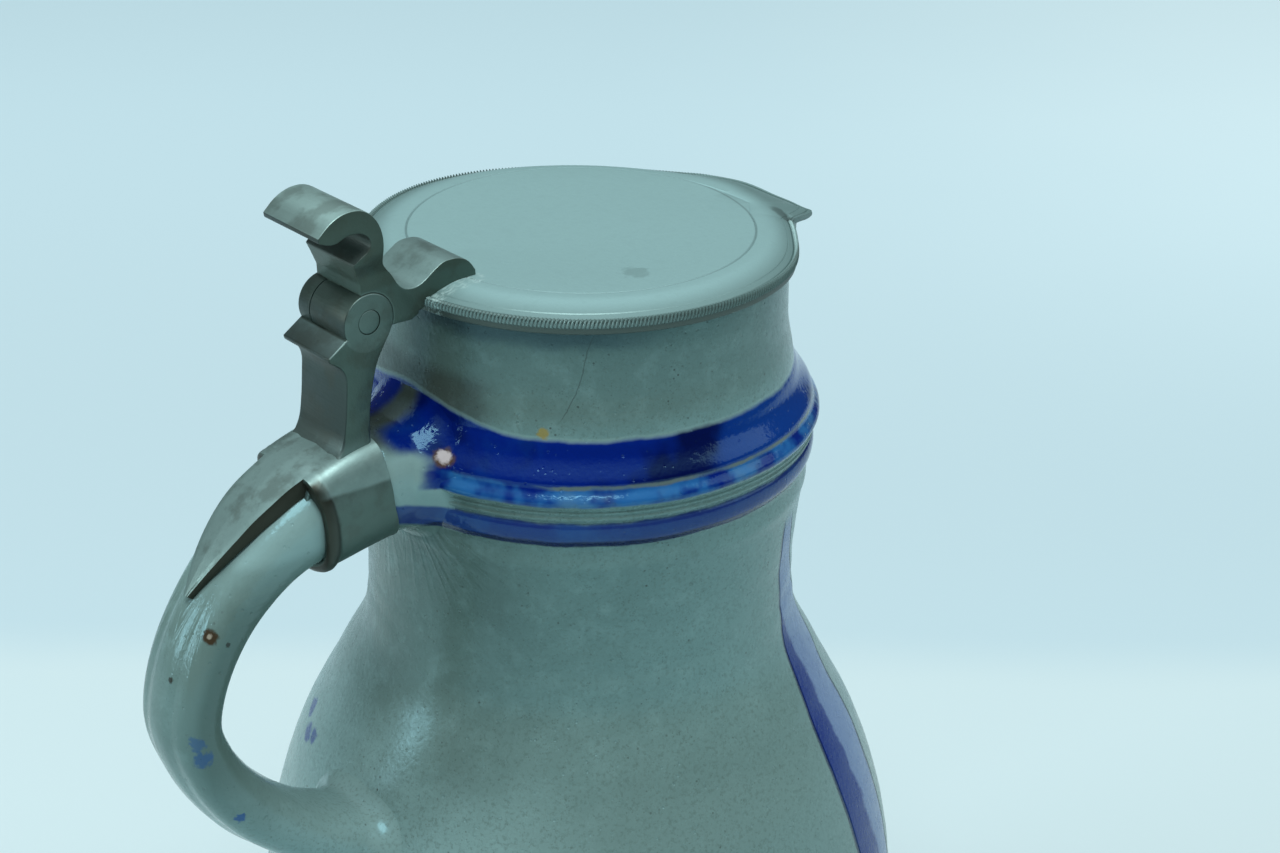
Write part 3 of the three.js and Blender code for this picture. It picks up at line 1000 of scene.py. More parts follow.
@dataclass
class ThrownBody:
    """The jug's thrown body: foot, pear-shaped belly, ridged collar and neck."""

    foot: Line = ((48.5, 0), (50, 0.6), (51.6, 2), (52.4, 6), (51.4, 9), (50.4, 11.5), (51.4, 14))
    belly: Line = (
        (51.4, 14), (58.5, 26), (68, 43), (74, 62), (75.8, 80), (73.8, 100), (67, 123), (57, 143), (50, 157),
        (48.3, 167))
    waist: Line = ((48.3, 167), (48.2, 176), (48.8, 185), (49.8, 192.2), (50.3, 194.6), (50.3, 199.3))
    ridges: Line = (
        (50.3, 199.3), (50.9, 200.3), (51.5, 201.6), (51.7, 203.2), (51.5, 204.6), (51.0, 205.3), (51.4, 205.9),
        (51.7, 206.6), (51.4, 207.1), (51.8, 207.8), (51.6, 208.4), (52.1, 208.9), (52.6, 209.7), (52.75, 210.4),
        (52.55, 211), (52.05, 211.6), (51.5, 212.2), (51.2, 212.8), (51.1, 213.5), (51, 214.2), (50.3, 215.3),
        (49, 216.9), (47.9, 218.6), (47.2, 220.6), (46.6, 221.8))
    neck: Line = ((46.6, 221.8), (46.2, 224.5), (45.5, 228), (45, 231), (44.7, 238), (44.8, 244.4))
    lip: Line = ((44.8, 244.4), (44.6, 246.1), (43.9, 246.9), (42.4, 246.7), (41.3, 245.2), (41.1, 240))
    inside: Line = (
        (41.1, 240), (41, 226), (42.6, 210), (43.6, 196), (43.4, 178), (44.6, 165), (50.5, 151), (58.5, 135),
        (66, 116), (70.4, 98), (71.6, 80), (69.4, 62), (62, 42), (53, 25), (44, 12))
    floor: Line = ((44, 12), (38, 8.6), (30, 7.6), (12, 7.1), (0, 7))
    spout: SpoutPull = SpoutPull()
    spout_foot: float = 224.0
    lip_height: float = 246.1
    unevenness: Line = ((4.2, 0.14), (34, 0.25), (8, 0.06))
    steps: int = 224

    def wall(self) -> list[Pair]:
        """Returns the outside's [radius, height] points, from the base up."""
        return joined(eased(self.foot, 0.8), eased(self.belly, 2.2), eased(self.waist, 1.4),
                      eased(self.ridges, 0.35), eased(self.neck, 0.9))

    def build(self) -> Thing:
        """Throws the body."""
        outline = joined([(0, 0.4), (30, 0.4), (44, 0.2)], self.wall(), eased(self.lip, 0.5),
                         eased(self.inside, 4), eased(self.floor, 4))
        body = spun("thrown_body", outline, self.steps)
        return softened(shifted(body, self.hand), 60)

    def hand(self, place: Vector) -> Vector:
        """Adds the hand's work to a point: the pulled lip, throwing rings and slow unevenness."""
        pulled = self.spout.move(place, smoothstep(place.z, self.spout_foot, self.lip_height))
        radius = math.hypot(place.x, place.y)
        if radius < 20 or place.z < 0.5:
            return pulled
        turn = math.atan2(place.y, place.x)
        (size, deep), (wide, slow), (narrow, fine) = self.unevenness
        rings = grain(Vector((place.z, 2 * math.cos(turn), 2 * math.sin(turn))), size, 3.0) * deep
        waist = smoothstep(place.z, 20, 40) * (1 - smoothstep(place.z, 196, 199))
        uneven = grain(place, wide, 9.0) * slow + grain(place, narrow, 5.0) * fine
        swell = 1 + (rings * waist + uneven * smoothstep(place.z, 2, 12)) / radius
        return widened(pulled, swell)


@dataclass
class StrapHandle:
    """The pulled strap handle, smoothed on to the collar above and on to the belly below."""

    middle: Rows = (
        (40, 209, 12.2, 13.4), (50, 209, 11.2, 12.4), (60, 208.8, 10.4, 11.6), (71, 206.8, 9.8, 11.2),
        (82, 203, 8.3, 10.6), (92.9, 194.4, 6.9, 10.1), (101.2, 182.2, 6.2, 10), (104.6, 169.5, 6, 10),
        (102.3, 159.7, 6.3, 10), (97.3, 150, 6.5, 10), (90.8, 141.8, 6.6, 10.3), (82, 133.6, 6.5, 11),
        (73, 127.2, 7.2, 12), (62, 121.5, 8, 12.5))
    wall: Line = ()
    squareness: float = 2.5
    sides: int = 56
    rings: int = 110
    sunk: float = 1.4
    fillet: float = 7.0
    under_fillet: float = 5.0
    fillet_steps: int = 14
    groove: float = 0.45
    groove_at: Pair = (4.6, 1.5)
    uneven: float = 0.12
    swell: float = 1.1
    band_front: Line = ((54.7, 190.9), (56.7, 197.9), (59.8, 207.9), (60.9, 221.9), (61.3, 231.9))

    def rail(self, share: float, side: float, grow: float = 0.0) -> Vector:
        """Reads the strap's surface.

        Args:
            share: How far along the strap, from 0 at the collar to 1 at the belly.
            side: How far round its section, in radians from the crown.
            grow: How far out from the surface.

        Returns:
            The place, in millimetres.
        """
        out, height, depth, width = along(self.middle, share)
        ahead, behind = along(self.middle, share + 0.002), along(self.middle, share - 0.002)
        run = Vector((behind[0] - ahead[0], 0, ahead[1] - behind[1])).normalized()
        power = 2 / self.squareness
        high = math.copysign(abs(math.cos(side)) ** power, math.cos(side)) * (depth + grow)
        wide = math.copysign(abs(math.sin(side)) ** power, math.sin(side)) * (width + grow)
        return Vector((-out, wide, height)) + Vector((run.z, 0, -run.x)) * high

    def above_wall(self, place: Vector) -> float:
        """Returns how far a place is outside the sunk wall that the ends stop at."""
        return math.hypot(place.x, place.y) - height_line(self.wall, place.z) + self.sunk

    def ends(self, side: float) -> Pair:
        """Finds where a rail of the strap enters the wall above and below."""
        def sunk(share: float) -> bool:
            """Tells whether a place on the rail is inside the wall."""
            return self.above_wall(self.rail(share, side)) < 0

        return crossing(0.0, 0.4, sunk), crossing(1.0, 0.7, sunk)

    def on_wall(self, place: Vector) -> Vector:
        """Moves a place straight in or out to the sunk wall."""
        return widened(place, (height_line(self.wall, place.z) - self.sunk) / math.hypot(place.x, place.y))

    def cap(self, ring: Sequence[Vector], share: float) -> list[Vector]:
        """Shrinks an end ring towards its middle, along the wall."""
        centre = sum(ring, Vector()) / len(ring)
        return [self.on_wall(centre.lerp(place, share)) for place in ring]

    def fillet_ring(self, share: float, far: bool, spans: Rows, length: float) -> list[Vector]:
        """Makes one ring of the smoothed joint between the strap and the wall.

        Args:
            share: 0 where the joint meets the wall and 1 where the plain strap begins.
            far: Whether it is the end at the belly.
            spans: Each rail's turn round the strap, and where it enters the wall above and below.
            length: The strap's length, in millimetres.

        Returns:
            The ring's points.
        """
        angle = share * math.pi / 2
        ring = []
        step = -1 if far else 1
        for turn, start, end in spans:
            radius = self.fillet_at(turn)
            sideways, outwards = radius * (1 - math.sin(angle)), radius * (1 - math.cos(angle))
            root = end if far else start
            foot = self.rail(root + step * self.sunk / length, turn, sideways)
            high = height_line(self.wall, foot.z) + outwards - 0.3 * (1 - share) ** 2
            by_wall = widened(foot, high / math.hypot(foot.x, foot.y))
            place = root + step * (self.sunk + outwards) / length
            by_strap = self.pulled(self.rail(place, turn, sideways), place, turn)
            ring.append(by_wall.lerp(by_strap, smoothstep(share, 0.25, 1.0)))
        return ring

    def fillet_at(self, turn: float) -> float:
        """Returns the joint's radius at one side of the strap."""
        return blend(self.fillet, self.under_fillet, (1 - math.cos(turn)) / 2)

    def build(self) -> Thing:
        """Pulls the handle."""
        spans = [(turn, *self.ends(turn)) for turn in turns(self.sides)]
        length = sum(math.dist(a[:2], b[:2]) for a, b in zip(self.middle, self.middle[1:]))
        rings = [self.plain_ring(j / self.rings, spans, length) for j in range(self.rings + 1)]
        shares = [i / self.fillet_steps for i in range(self.fillet_steps)]
        near = [self.fillet_ring(share, False, spans, length) for share in shares]
        far = [self.fillet_ring(share, True, spans, length) for share in reversed(shares)]
        first, last = self.cap(near[0], 0.99), self.cap(far[-1], 0.99)
        caps = [self.cap(first, 0.04), self.cap(first, 0.5), first]
        ends = [last, self.cap(last, 0.5), self.cap(last, 0.04)]
        return softened(drawn("strap_handle", [*caps, *near, *rings, *far, *ends]), 60)

    def plain_ring(self, share: float, spans: Rows, length: float) -> list[Vector]:
        """Makes one ring of the plain strap between its two joints.

        Args:
            share: 0 at the joint above and 1 at the joint below.
            spans: Each rail's turn round the strap, and where it enters the wall above and below.
            length: The strap's length, in millimetres.

        Returns:
            The ring's points.
        """
        ring = []
        for turn, start, end in spans:
            inset = (self.sunk + self.fillet_at(turn)) / length
            place = blend(start + inset, end - inset, share)
            ring.append(self.pulled(self.rail(place, turn), place, turn))
        return ring

    def pulled(self, place: Vector, share: float, turn: float) -> Vector:
        """Adds the hand's work to a point: two shallow grooves on the back and slow unevenness."""
        face = smoothstep(math.cos(turn), 0.15, 0.6) * smoothstep(share, 0.12, 0.3)
        middle, wide = self.groove_at
        grooves = math.exp(-((abs(place.y) - middle) / wide) ** 2)
        inwards = self.rail(share, math.pi) - self.rail(share, 0)
        edge = height_line(self.band_front, place.z)
        swell = self.swell * (1 - smoothstep(-place.x, edge - 1, edge + 1.5))
        place = place + (self.rail(share, turn, 1) - self.rail(share, turn)).normalized() * swell
        deep = self.groove * face * grooves + grain(place, 9, 2.0) * self.uneven
        return place + inwards.normalized() * deep


@dataclass
class HandleMount:
    """The pewter band round the handle's root, and the tongue that tapers down the handle's back."""

    strap: StrapHandle
    pin: Pair = PIN
    front: Line = ((0.6, -15), (0.2, -25), (-0.9, -39), (-4, -49), (-6, -56))
    back: Line = ((20.5, -15), (18.5, -26.5), (16.4, -31), (15.3, -36), (15, -56))
    thickness: float = 1.8
    bead: float = 0.6
    bead_line: Rows = ((2.9, 0, 0.08), (2.4, 0.6, 0), (1.7, 1, 0), (0.9, 0.85, 0), (0.3, 0.2, 0), (0, 0, -0.7))
    front_edge: float = 1.6
    shoulder: float = 1.9
    shoulder_at: float = 0.55
    shoulder_width: float = 0.36
    tongue: Rows = (
        (66, 7, 2.6), (72, 7.3, 3), (77, 6.9, 3), (80.5, 6.7, 2.9), (83.5, 6.1, 2.8), (86, 5.5, 2.6), (90, 4, 2.3),
        (92.5, 2.6, 2), (95.2, 0.8, 1.6))
    crown: float = 0.05
    side: float = 5.0
    sections: int = 72
    tongue_sections: int = 36
    core: tuple[float, float, float] = (0.05, 0.5, 0.16)
    core_sections: int = 40

    def edge(self, line: Line, turn: float) -> float:
        """Finds where a rail of the strap meets an edge of the band.

        Args:
            line: The edge's [outwards, up] points from the pin.
            turn: The rail, in radians from the strap's crown.

        Returns:
            How far along the strap it is.
        """
        rising = sorted(((self.pin[0] + out, self.pin[1] + up) for out, up in line), key=lambda point: point[1])

        def ahead(share: float) -> bool:
            """Tells whether a place on the rail is before the edge."""
            place = self.strap.rail(share, turn)
            return -place.x < height_line(rising, place.z)

        return crossing(*STRAP_ROOT, ahead)

    def ring(self, turn: float) -> list[Vector]:
        """Makes the band's section at one side of the strap, as a closed loop."""
        start = self.edge(self.front, turn)
        end = self.edge(self.back, turn)
        length = (self.strap.rail(end, turn) - self.strap.rail(start, turn)).length
        side = abs(math.atan2(math.sin(turn), math.cos(turn)))
        lump = self.shoulder * math.exp(-((side - self.shoulder_at) / self.shoulder_width) ** 2)
        full = self.thickness
        bead = self.bead * smoothstep(side, 0.55, 0.85)
        outer = [(0, 0.05), (0, self.front_edge + lump - 0.15), (0.15, self.front_edge + lump)]
        for i in range(1, 17):
            at = blend(0.15, length - 3.4, i / 16)
            thick = blend(self.front_edge, full, smoothstep(at, 0, 6))
            outer.append((at, thick + lump))
        full += lump
        outer += [(length - back, full + bead * share + up) for back, share, up in self.bead_line]
        outer += [(length - 0.1, 0.5)]
        inner = [(blend(length - 0.5, 0, i / 8), 0.05) for i in range(8)]
        return [self.strap.rail(blend(start, end, at / length), turn, grow) for at, grow in [*outer, *inner]]

    def at(self, out: float) -> float:
        """Finds how far along the strap its middle line is out from the jug's axis."""
        return crossing(0.0, 0.5, lambda share: along(self.strap.middle, share)[0] < out)

    def tongue_ring(self, out: float, half: float, proud: float) -> list[Vector]:
        """Makes a section of the tongue: two side walls, a low roof and a flat underside inside the strap."""
        share = self.at(out)
        crown, root = self.strap.rail(share, 0), self.strap.rail(share, math.pi)
        up = (crown - root).normalized()
        middle = (crown + root) / 2
        depth = (crown - root).length / 2
        top, low = depth + proud, max(depth - self.side, 0)
        shoulder = top - self.crown * half
        soft = min(0.6, half * 0.4)
        outline = [(low, -half), (low, 0), (low, half)]
        outline += [(blend(low, shoulder - soft, i / 4), half) for i in range(1, 5)]
        outline += [(shoulder - soft * 0.3, half - soft * 0.3)]
        outline += [(blend(shoulder, top, i / 8) - 0.1 * (i == 0), blend(half - soft, 0, i / 8)) for i in range(9)]
        mirrored = [(high, -wide) for high, wide in reversed(outline[3:-1])]
        return [middle + up * high + Vector((0, wide, 0)) for high, wide in [*outline, *mirrored]]

    def build(self) -> Thing:
        """Casts the band and the tongue as one piece."""
        band = drawn("band_and_tongue", [self.ring(turn) for turn in turns(self.sections)], True)
        tongue = drawn("tongue", [self.tongue_ring(*place) for place in evenly(self.tongue, self.tongue_sections)])
        start, end, proud = self.core
        places = [blend(start, end, j / self.core_sections) for j in range(self.core_sections + 1)]
        sides = turns(self.strap.sides)
        carved(tongue, drawn("core", [[self.strap.rail(place, turn, proud) for turn in sides] for place in places]))
        return softened(carved(band, tongue, "UNION"))


@dataclass
class Hinge:
    """Where the pin lies, and the knuckles that it joins."""

    pin: Pair = PIN
    pin_radius: float = 2.5
    clearance: float = 0.1
    knuckle: float = 5.9
    near: float = -7.9
    far: float = 8.3
    middle: Pair = (-0.5, 4.0)
    near_gap: float = 0.02
    far_gap: float = 0.3
    swing_gap: float = 0.12
    pin_sides: int = 64
    pin_edge: float = 0.25

    def placed(self, outline: Line) -> list[Pair]:
        """Turns [outwards, up] points from the pin into [x, z] points."""
        return [(-self.pin[0] - out, self.pin[1] + up) for out, up in outline]

    @property
    def centre(self) -> Pair:
        """The pin's axis, as [x, z]."""
        return -self.pin[0], self.pin[1]

    def bore(self) -> Thing:
        """Makes the space round the pin, to cut a leaf with."""
        radius = self.pin_radius + self.clearance
        return rod("bore", self.centre, radius, self.near - 3, self.far + 3, self.pin_sides)

    def space(self, name: str, near: float, far: float) -> Thing:
        """Makes the space that a knuckle swings in, from near to far."""
        return rod(name, self.centre, self.knuckle + self.swing_gap, near, far)

    def rivet(self) -> Thing:
        """Makes the pin, its ends filed flush."""
        pin = rod("hinge_pin_rod", self.centre, self.pin_radius, self.near, self.far, self.pin_sides)
        return softened(rounded(pin, self.pin_edge))


@dataclass
class HingePillar:
    """The fixed leaf: a pillar that stands on the band, with the two outer knuckles and a stop ledge."""

    hinge: Hinge
    inner: Line = ((-5.2, -3.0), (-3.6, -5.6), (-1.7, -9), (-0.4, -13.5), (0.5, -19), (0.8, -27), (0.9, -36))
    outer: Line = (
        (17, -36), (16, -31.7), (12.4, -29.5), (9.2, -27.4), (7.4, -24.5), (6.6, -20.5), (6, -14), (5.9, -10.6),
        (6.8, -8.4), (9.6, -6.2))
    ledge: Line = ((9.6, -6.2), (9.9, -5.4), (5.3, -2.4))
    foot: Rows = (
        (-19, 0.6, 6.4, 7.9), (-23, 0.7, 7, 8), (-26.5, 0.8, 8.6, 8.4), (-30, 0.9, 12.8, 8.6), (-36, 1, 16.2, 8.7))
    softness: float = 0.45
    barrel_edge: float = 0.35
    corner: float = 0.8
    sections: int = 18

    def foot_ring(self, up: float, inner: float, outer: float, half: float) -> list[Vector]:
        """Makes a level section of the foot, with rounded corners.

        Args:
            up: Its height above the pin.
            inner: Its inner face, outwards from the pin.
            outer: Its outer face, outwards from the pin.
            half: Its half width.

        Returns:
            The section's points.
        """
        points = []
        for out, side, start in ((inner, -1, 270), (inner, 1, 180), (outer, 1, 90), (outer, -1, 0)):
            middle = out + math.copysign(self.corner, (inner + outer) / 2 - out)
            for i in range(5):
                angle = math.radians(start - 22.5 * i)
                points.append((middle + self.corner * math.cos(angle),
                               side * (half - self.corner) + self.corner * math.sin(angle)))
        return [Vector((-self.hinge.pin[0] - out, y, self.hinge.pin[1] + up)) for out, y in points]

    def build(self, mount: Thing) -> Thing:
        """Casts the pillar on top of the mount.

        Args:
            mount: The band and tongue that it stands on.

        Returns:
            The pillar.
        """
        hinge = self.hinge
        outline = joined(eased(self.inner, 1.2), eased(self.outer, 1.2), self.ledge)
        pillar = rounded(slab("hinge_pillar_casting", hinge.placed(outline), hinge.near, hinge.far), self.softness)
        barrel = rounded(rod("barrel", hinge.centre, hinge.knuckle, hinge.near, hinge.far), self.barrel_edge)
        carved(pillar, drawn("foot", [self.foot_ring(*row) for row in evenly(self.foot, self.sections)]), "UNION")
        carved(pillar, barrel, "UNION")
        low, high = hinge.middle
        carved(pillar, hinge.space("slot", low - hinge.near_gap, high + hinge.far_gap))
        carved(pillar, hinge.bore())
        base = mount.copy()
        base.data = mount.data.copy()
        bpy.context.collection.objects.link(base)
        carved(pillar, base)
        return pillar


@dataclass
class PewterLid:
    """The turned pewter lid: a flat plate, a sloping border, a knurled rim and a flap over the spout."""

    top: float = 250.0
    radius: float = 47.5
    plate: float = 2.6
    rim_bottom: float = 4.9
    rim_wall: float = 1.5
    border: float = 39.0
    border_drop: float = 2.3
    ring: float = 37.3
    ring_width: float = 0.5
    ring_depth: float = 0.12
    bead: float = 248.3
    knurl: Line = ((-0.05, -1.6), (0, -1.2), (0, -0.5), (-0.15, -0.1), (-0.5, 0.05), (-0.9, 0))
    crease_size: Pair = (0.5, 0.45)
    squeeze: tuple[float, float, float] = (1.3, -41, 15)
    teeth: int = TEETH
    tooth: float = 0.28
    slant: float = SLANT
    heights: Line = tuple(eased([
        (0, -180), (0, -60), (0, -40), (-0.3, -28.5), (-1.0, -24), (-2.5, -17.5), (-1.6, -12.5), (-0.9, -7.9),
        (0, -2.9), (0.4, 1.3), (0.3, 7), (-0.2, 13), (-1.1, 21), (-1.8, 33), (-2, 45), (-1.8, 58), (-1.3, 70),
        (-0.6, 85), (0, 105), (0, 140), (0, 180)], 1.0))
    crease: tuple[Pair, Pair] = ((40.2, -17.0), (41.6, -22.2))
    flap: tuple[float, float, float, float] = (-29.0, -27.0, 5.0, 18.0)
    spout: SpoutPull = SpoutPull(yaw=-17.5, near_half_angle=11.0, reach=8.5, droop=0.0, notched=True)

    def slope(self, radius: float) -> float:
        """Returns the height of the border at a radius."""
        return self.top - self.border_drop * max((radius - self.border) / (self.radius - self.border), 0) ** 1.6

    def build(self) -> Thing:
        """Turns the lid."""
        wall = self.radius - self.rim_wall
        bottom = self.top - self.rim_bottom
        under = [(r, self.top - self.plate - down)
                 for r, down in ((0, 0), (30, 0), (44, 0), (wall - 0.6, 0.1), (wall, 0.7))]
        side = self.radius - 0.25
        rim = [(wall, bottom + 0.3), (wall + 0.3, bottom), (side - 0.5, bottom), (side - 0.1, bottom + 0.3),
               (side, bottom + 0.8), (side, self.bead - 1.7)]
        knurl = [(self.radius + out, self.bead + up) for out, up in self.knurl]
        inner = self.radius - 1.1
        slope = [(inner, self.slope(inner) - 0.25)]
        slope += [(r, self.slope(r) - 0.12 * (r == 44.9))
                  for r in (inner - 0.25, 45.4, 45.1, 44.9, 44.7, 43.8, 42.8, 41.8, 40.8, 39.9, 39)]
        groove = [(self.ring + self.ring_width / 2 * out, self.top - self.ring_depth * down)
                  for out, down in ((1, 0), (0.4, 0.7), (0, 1), (-0.4, 0.7), (-1, 0))]
        plate = [(r, self.top) for r in (34, 28, 20, 11, 0)]
        lid = spun("lid_casting", [*under, *rim, *knurl, *slope, *groove, *plate], 3 * self.teeth)
        return softened(shifted(lid, self.shaped), 24)

    def space(self) -> Thing:
        """Makes the room that the lid needs under the thumb-lift's tang."""
        side = self.radius + 0.3
        outline = [(0, self.top - 8), (side, self.top - 8), (side, self.slope(side) + 0.02)]
        outline += [(r, self.slope(r) + 0.02) for r in (46.6, 45.6, 44.6, 43.6, 42.6, 41.6, 40.6, 39.6, 39)]
        outline += [(r, self.top + 0.02) for r in (34, 28, 20, 10, 0)]
        return shifted(spun("lid_space", outline, 256), lambda place: self.shaped(place, False))

    def shaped(self, place: Vector, knurled: bool = True) -> Vector:
        """Adds the rim's knurling, the flap over the spout and the far side's sag to a point."""
        radius = math.hypot(place.x, place.y)
        if radius < 1:
            return place
        turn = math.atan2(place.y, place.x)
        azimuth = math.degrees(turn)
        in_flap = smoothstep(azimuth, *self.flap[:2]) * (1 - smoothstep(azimuth, *self.flap[2:]))
        if knurled and radius > self.radius - 0.95 and self.bead - 1.65 < place.z:
            wave = math.cos(self.teeth * turn + (radius - place.z) * self.slant) * self.tooth * (1 - in_flap)
            place = widened(place, 1 + wave * 0.7 / radius, wave)
        height = place.z
        if radius > self.radius - self.rim_wall - 0.1 and height < self.bead - 1:
            height = blend(height, self.bead - 1 - (self.bead - 1 - height) * 0.25, in_flap)
        low = height_line(self.heights, azimuth) * max((radius - 35) / (self.radius - 35), 0) ** 1.4
        if height < self.top - self.plate + 0.2 and radius < 45.2:
            low *= 1 - smoothstep(azimuth, 6, 14)
        elif radius > 42.5:
            (x0, y0), (x1, y1) = self.crease
            off = ((place.x - x0) * (y1 - y0) - (place.y - y0) * (x1 - x0)) / math.hypot(x1 - x0, y1 - y0)
            deep, wide = self.crease_size
            low -= deep * math.exp(-((off / wide) ** 2)) * smoothstep(radius, 42.5, 44.5) * (place.y < 0)
        dent = grain(place, 26, 4.0) * 0.12 * smoothstep(radius, 47, 40)
        deep, middle, wide = self.squeeze
        squeeze = 1 - deep * math.exp(-((azimuth - middle) / wide) ** 2) * smoothstep(radius, 41, 47) / radius
        moved = self.spout.move(Vector((place.x * squeeze, place.y * squeeze, height)), 1.0)
        return Vector((moved.x, moved.y, moved.z + low + dent))


@dataclass
class ThumbLift:
    """The moving leaf: a tang on the lid, the middle knuckle, and a thumb-piece with a rolled head."""

    hinge: Hinge
    tang: Line = ((-12.2, -1.5), (-10.4, -2.4), (-5.2, -2.2), (-4.6, 3.2), (-2, 5), (1.5, 5.4), (1.6, 8.1))
    lug: Line = ((1.6, 8.1), (2.9, 11.2), (3.8, 13.1))
    hollow: Line = (
        (3.8, 13.1), (2.3, 14.3), (0.6, 15.5), (-0.1, 17), (0.6, 18.5), (2.7, 19.6), (5.5, 19.6), (7.9, 18.7),
        (9.7, 18.9), (11.7, 19.7))
    front: Line = (
        (11.9, 20.7), (9.2, 23), (6.2, 24.3), (2.7, 24.4), (0, 23.1), (-2, 20.6), (-3, 17.5), (-3.1, 13.5),
        (-3.6, 11.4), (-5.8, 8.6), (-7.5, 5.9), (-9, 4.7), (-11.3, 4.3), (-13.3, 4.8), (-15.8, 6.4), (-18.3, 7.8),
        (-20.4, 8), (-22.6, 7.7), (-24.9, 6.4), (-26.5, 4.2))
    heel: Line = ((-26.5, 4.2), (-26.6, 2.6), (-21, 2.4), (-16, 0.2), (-12.2, -1))
    half_width: float = 7.6
    head_width: float = 9.5
    near_swell: Pair = (8.5, 15.5)
    far_swell: Pair = (13.0, 18.5)
    swell_from: float = -4.5
    cuts: int = 12
    softness: float = 0.45

    def swollen(self, place: Vector) -> Vector:
        """Widens the thumb-piece from its neck to its head."""
        up = place.z - self.hinge.pin[1]
        if -place.x < self.hinge.pin[0] + self.swell_from:
            return place
        near = place.y < 0
        more = (self.head_width - self.half_width) * smoothstep(up, *(self.near_swell if near else self.far_swell))
        return Vector((place.x, place.y - more if near else place.y + more, place.z))

    def build(self, lid: PewterLid) -> Thing:
        """Casts the thumb-lift.

        Args:
            lid: The lid that its tang lies on.

        Returns:
            The thumb-lift.
        """
        hinge = self.hinge
        outline = joined(self.tang, self.lug, eased(self.hollow, 0.9), eased(self.front, 0.9), self.heel)
        blade = slab("thumb_lever", hinge.placed(outline), -self.half_width, self.half_width)
        edit(blade)
        for i in range(self.cuts):
            bpy.ops.mesh.select_all(action="SELECT")
            level = hinge.pin[1] + blend(self.near_swell[0], self.far_swell[1], i / (self.cuts - 1))
            bpy.ops.mesh.bisect(plane_co=Vector((0, 0, level)) * MM, plane_no=(0, 0, 1))
        bpy.ops.object.mode_set(mode="OBJECT")
        shifted(blade, self.swollen)
        rounded(blade, self.softness)
        low, high = hinge.middle
        carved(blade, rod("knuckle", hinge.centre, hinge.knuckle, low, high), "UNION")
        carved(blade, hinge.space("near", hinge.near - 4, low))
        carved(blade, hinge.space("far", high, hinge.far + 4))
        carved(blade, hinge.bore())
        return sealed(carved(blade, lid.space()))


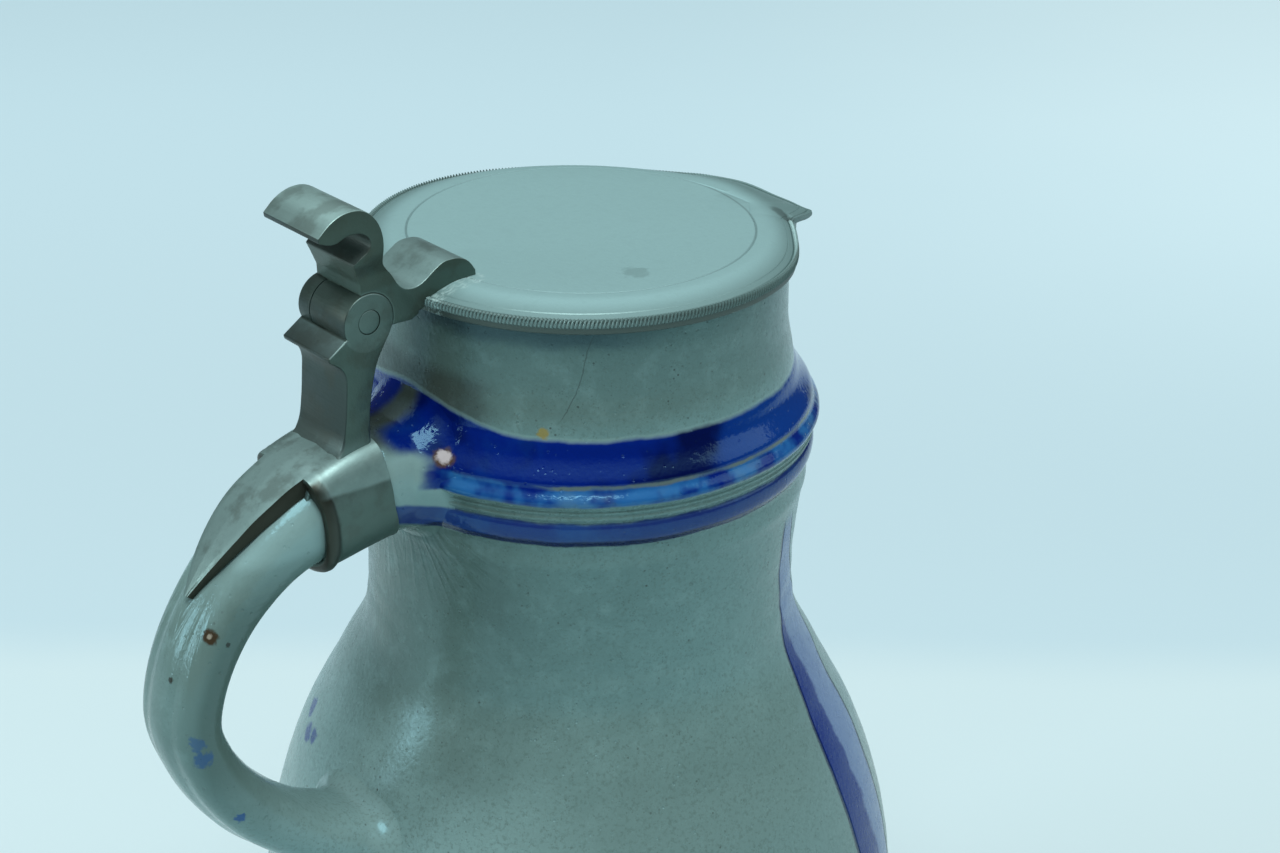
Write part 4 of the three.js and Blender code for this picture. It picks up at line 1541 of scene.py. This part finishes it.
@dataclass
class Studio:
    """The camera, the light and the ground."""

    place: Sequence[float] = (-289.5, -345.0, 423.0)
    look: Sequence[float] = (0.5971, 0.6707, -0.4399)
    roll: float = 0.0157289
    lens: float = 63.28
    sensor: float = 36.0
    lamps: Sequence[Sequence] = (
        ("ceiling_light", (-0.55, -0.65, 2.8), (0, 0, 0.2), 1.3, 42),
        ("window_light", (-1.35, 0.62, 0.55), (0, 0, 0.2), 0.5, 6, (0.9, 0.97, 1.0)),
        ("side_light", (1.0, -0.9, 1.1), (0, 0, 0.15), 0.9, 3))
    brightening: tuple[float, float, float, float] = (0.4, 1.0, 0.06, 1.0)
    ground_size: float = 12.0
    air: Colour = (0.84, 0.96, 1.0)

    def camera(self) -> None:
        """Sets up the camera."""
        look = Vector(self.look).normalized()
        right = look.cross(Vector((0, 0, 1))).normalized()
        up = right.cross(look)
        turned_right = right * math.cos(self.roll) + up * math.sin(self.roll)
        turned_up = up * math.cos(self.roll) - right * math.sin(self.roll)
        bpy.ops.object.camera_add(location=Vector(self.place) * MM)
        camera = bpy.context.object
        camera.name = "camera"
        camera.rotation_mode = "QUATERNION"
        columns = Matrix((turned_right, turned_up, -look)).transposed()
        camera.rotation_quaternion = columns.to_quaternion()
        camera.data.lens = self.lens
        camera.data.sensor_width = self.sensor
        camera.data.clip_start, camera.data.clip_end = 0.01, 50
        bpy.context.scene.camera = camera

    def lamp(self, name: str, place: Sequence[float], aim: Sequence[float], size: float, power: float,
             colour: Colour = (1, 1, 1)) -> None:
        """Adds a square soft lamp.

        Args:
            name: Its name.
            place: Where it is, in metres.
            aim: What it points at, in metres.
            size: The length of its sides, in metres.
            power: Its power, in watts.
            colour: Its colour.
        """
        bpy.ops.object.light_add(type="AREA", location=place)
        lamp = bpy.context.object
        lamp.name = name
        lamp.data.energy = power
        lamp.data.size = size
        lamp.data.color = colour
        lamp.rotation_mode = "QUATERNION"
        lamp.rotation_quaternion = (Vector(aim) - Vector(place)).to_track_quat("-Z", "Y")

    def light(self) -> None:
        """Sets up the lamps and the world."""
        for lamp in self.lamps:
            self.lamp(*lamp)
        world = bpy.data.worlds.new("studio")
        bpy.context.scene.world = world
        world.use_nodes = True
        wiring = Wiring(world.node_tree)
        parts = wiring.node("SeparateXYZ", {0: wiring.node("TexCoord", {}).outputs["Generated"]})
        background = world.node_tree.nodes["Background"]
        wiring.feed(background.inputs["Strength"], wiring.rise(parts.outputs["Z"], *self.brightening))
        wiring.feed(background.inputs["Color"], self.air)
        bpy.context.scene.view_settings.view_transform = "Standard"

    def ground(self) -> None:
        """Lays the pale ground."""
        bpy.ops.object.select_all(action="DESELECT")
        bpy.ops.mesh.primitive_plane_add(size=self.ground_size)
        ground = bpy.context.object
        ground.name = "ground"
        ground.data.materials.append(Paper().make())


def dressed(piece: Thing, body: Body, node: str, material: bpy.types.Material) -> None:
    """Gives a piece its finish, its body and the solid that it stands for.

    Args:
        piece: The piece.
        body: The body that it rides on.
        node: The solid that it stands for.
        material: Its finish.
    """
    piece.data.materials.clear()
    piece.data.materials.append(material)
    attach(piece, body.value)
    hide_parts(node)
    LOG.info("%s: %d faces, on %s, for %s", piece.name, len(piece.data.polygons), body.value, node)


def main() -> None:
    """Builds and dresses every piece, then the studio."""
    logging.basicConfig(level=logging.INFO, format="%(name)s %(message)s")
    glaze = StonewareGlaze("salt_glaze_and_cobalt").make()
    plain_glaze = StonewareGlaze("salt_glaze_on_handle", painted=False).make()
    cast = Pewter("cast_pewter", Wear.CAST).make()
    soldered = Pewter("soldered_pewter", Wear.SOLDERED).make()
    turned = Pewter("turned_pewter", Wear.TURNED, lit_and_clean=(0.34, 0.56, 0.56), shaded_and_dull=(0.11, 0.19, 0.18),
                    metallic=0.35).make()

    thrown = ThrownBody()
    dressed(thrown.build(), Body.JUG, "jug_body", glaze)
    strap = StrapHandle(wall=thrown.wall())
    dressed(strap.build(), Body.JUG, "jug_handle", plain_glaze)
    mount = HandleMount(strap).build()
    hinge = Hinge()
    pillar = HingePillar(hinge).build(mount)
    dressed(mount, Body.JUG, "handle_mount", soldered)
    dressed(softened(pillar), Body.JUG, "hinge_pillar", cast)
    dressed(hinge.rivet(), Body.JUG, "hinge_pin", cast)
    lid = PewterLid()
    dressed(softened(ThumbLift(hinge).build(lid)), Body.LID, "thumb_lift", cast)
    dressed(lid.build(), Body.LID, "lid", turned)

    studio = Studio()
    studio.ground()
    studio.light()
    studio.camera()


if __name__ == "__main__":
    main()
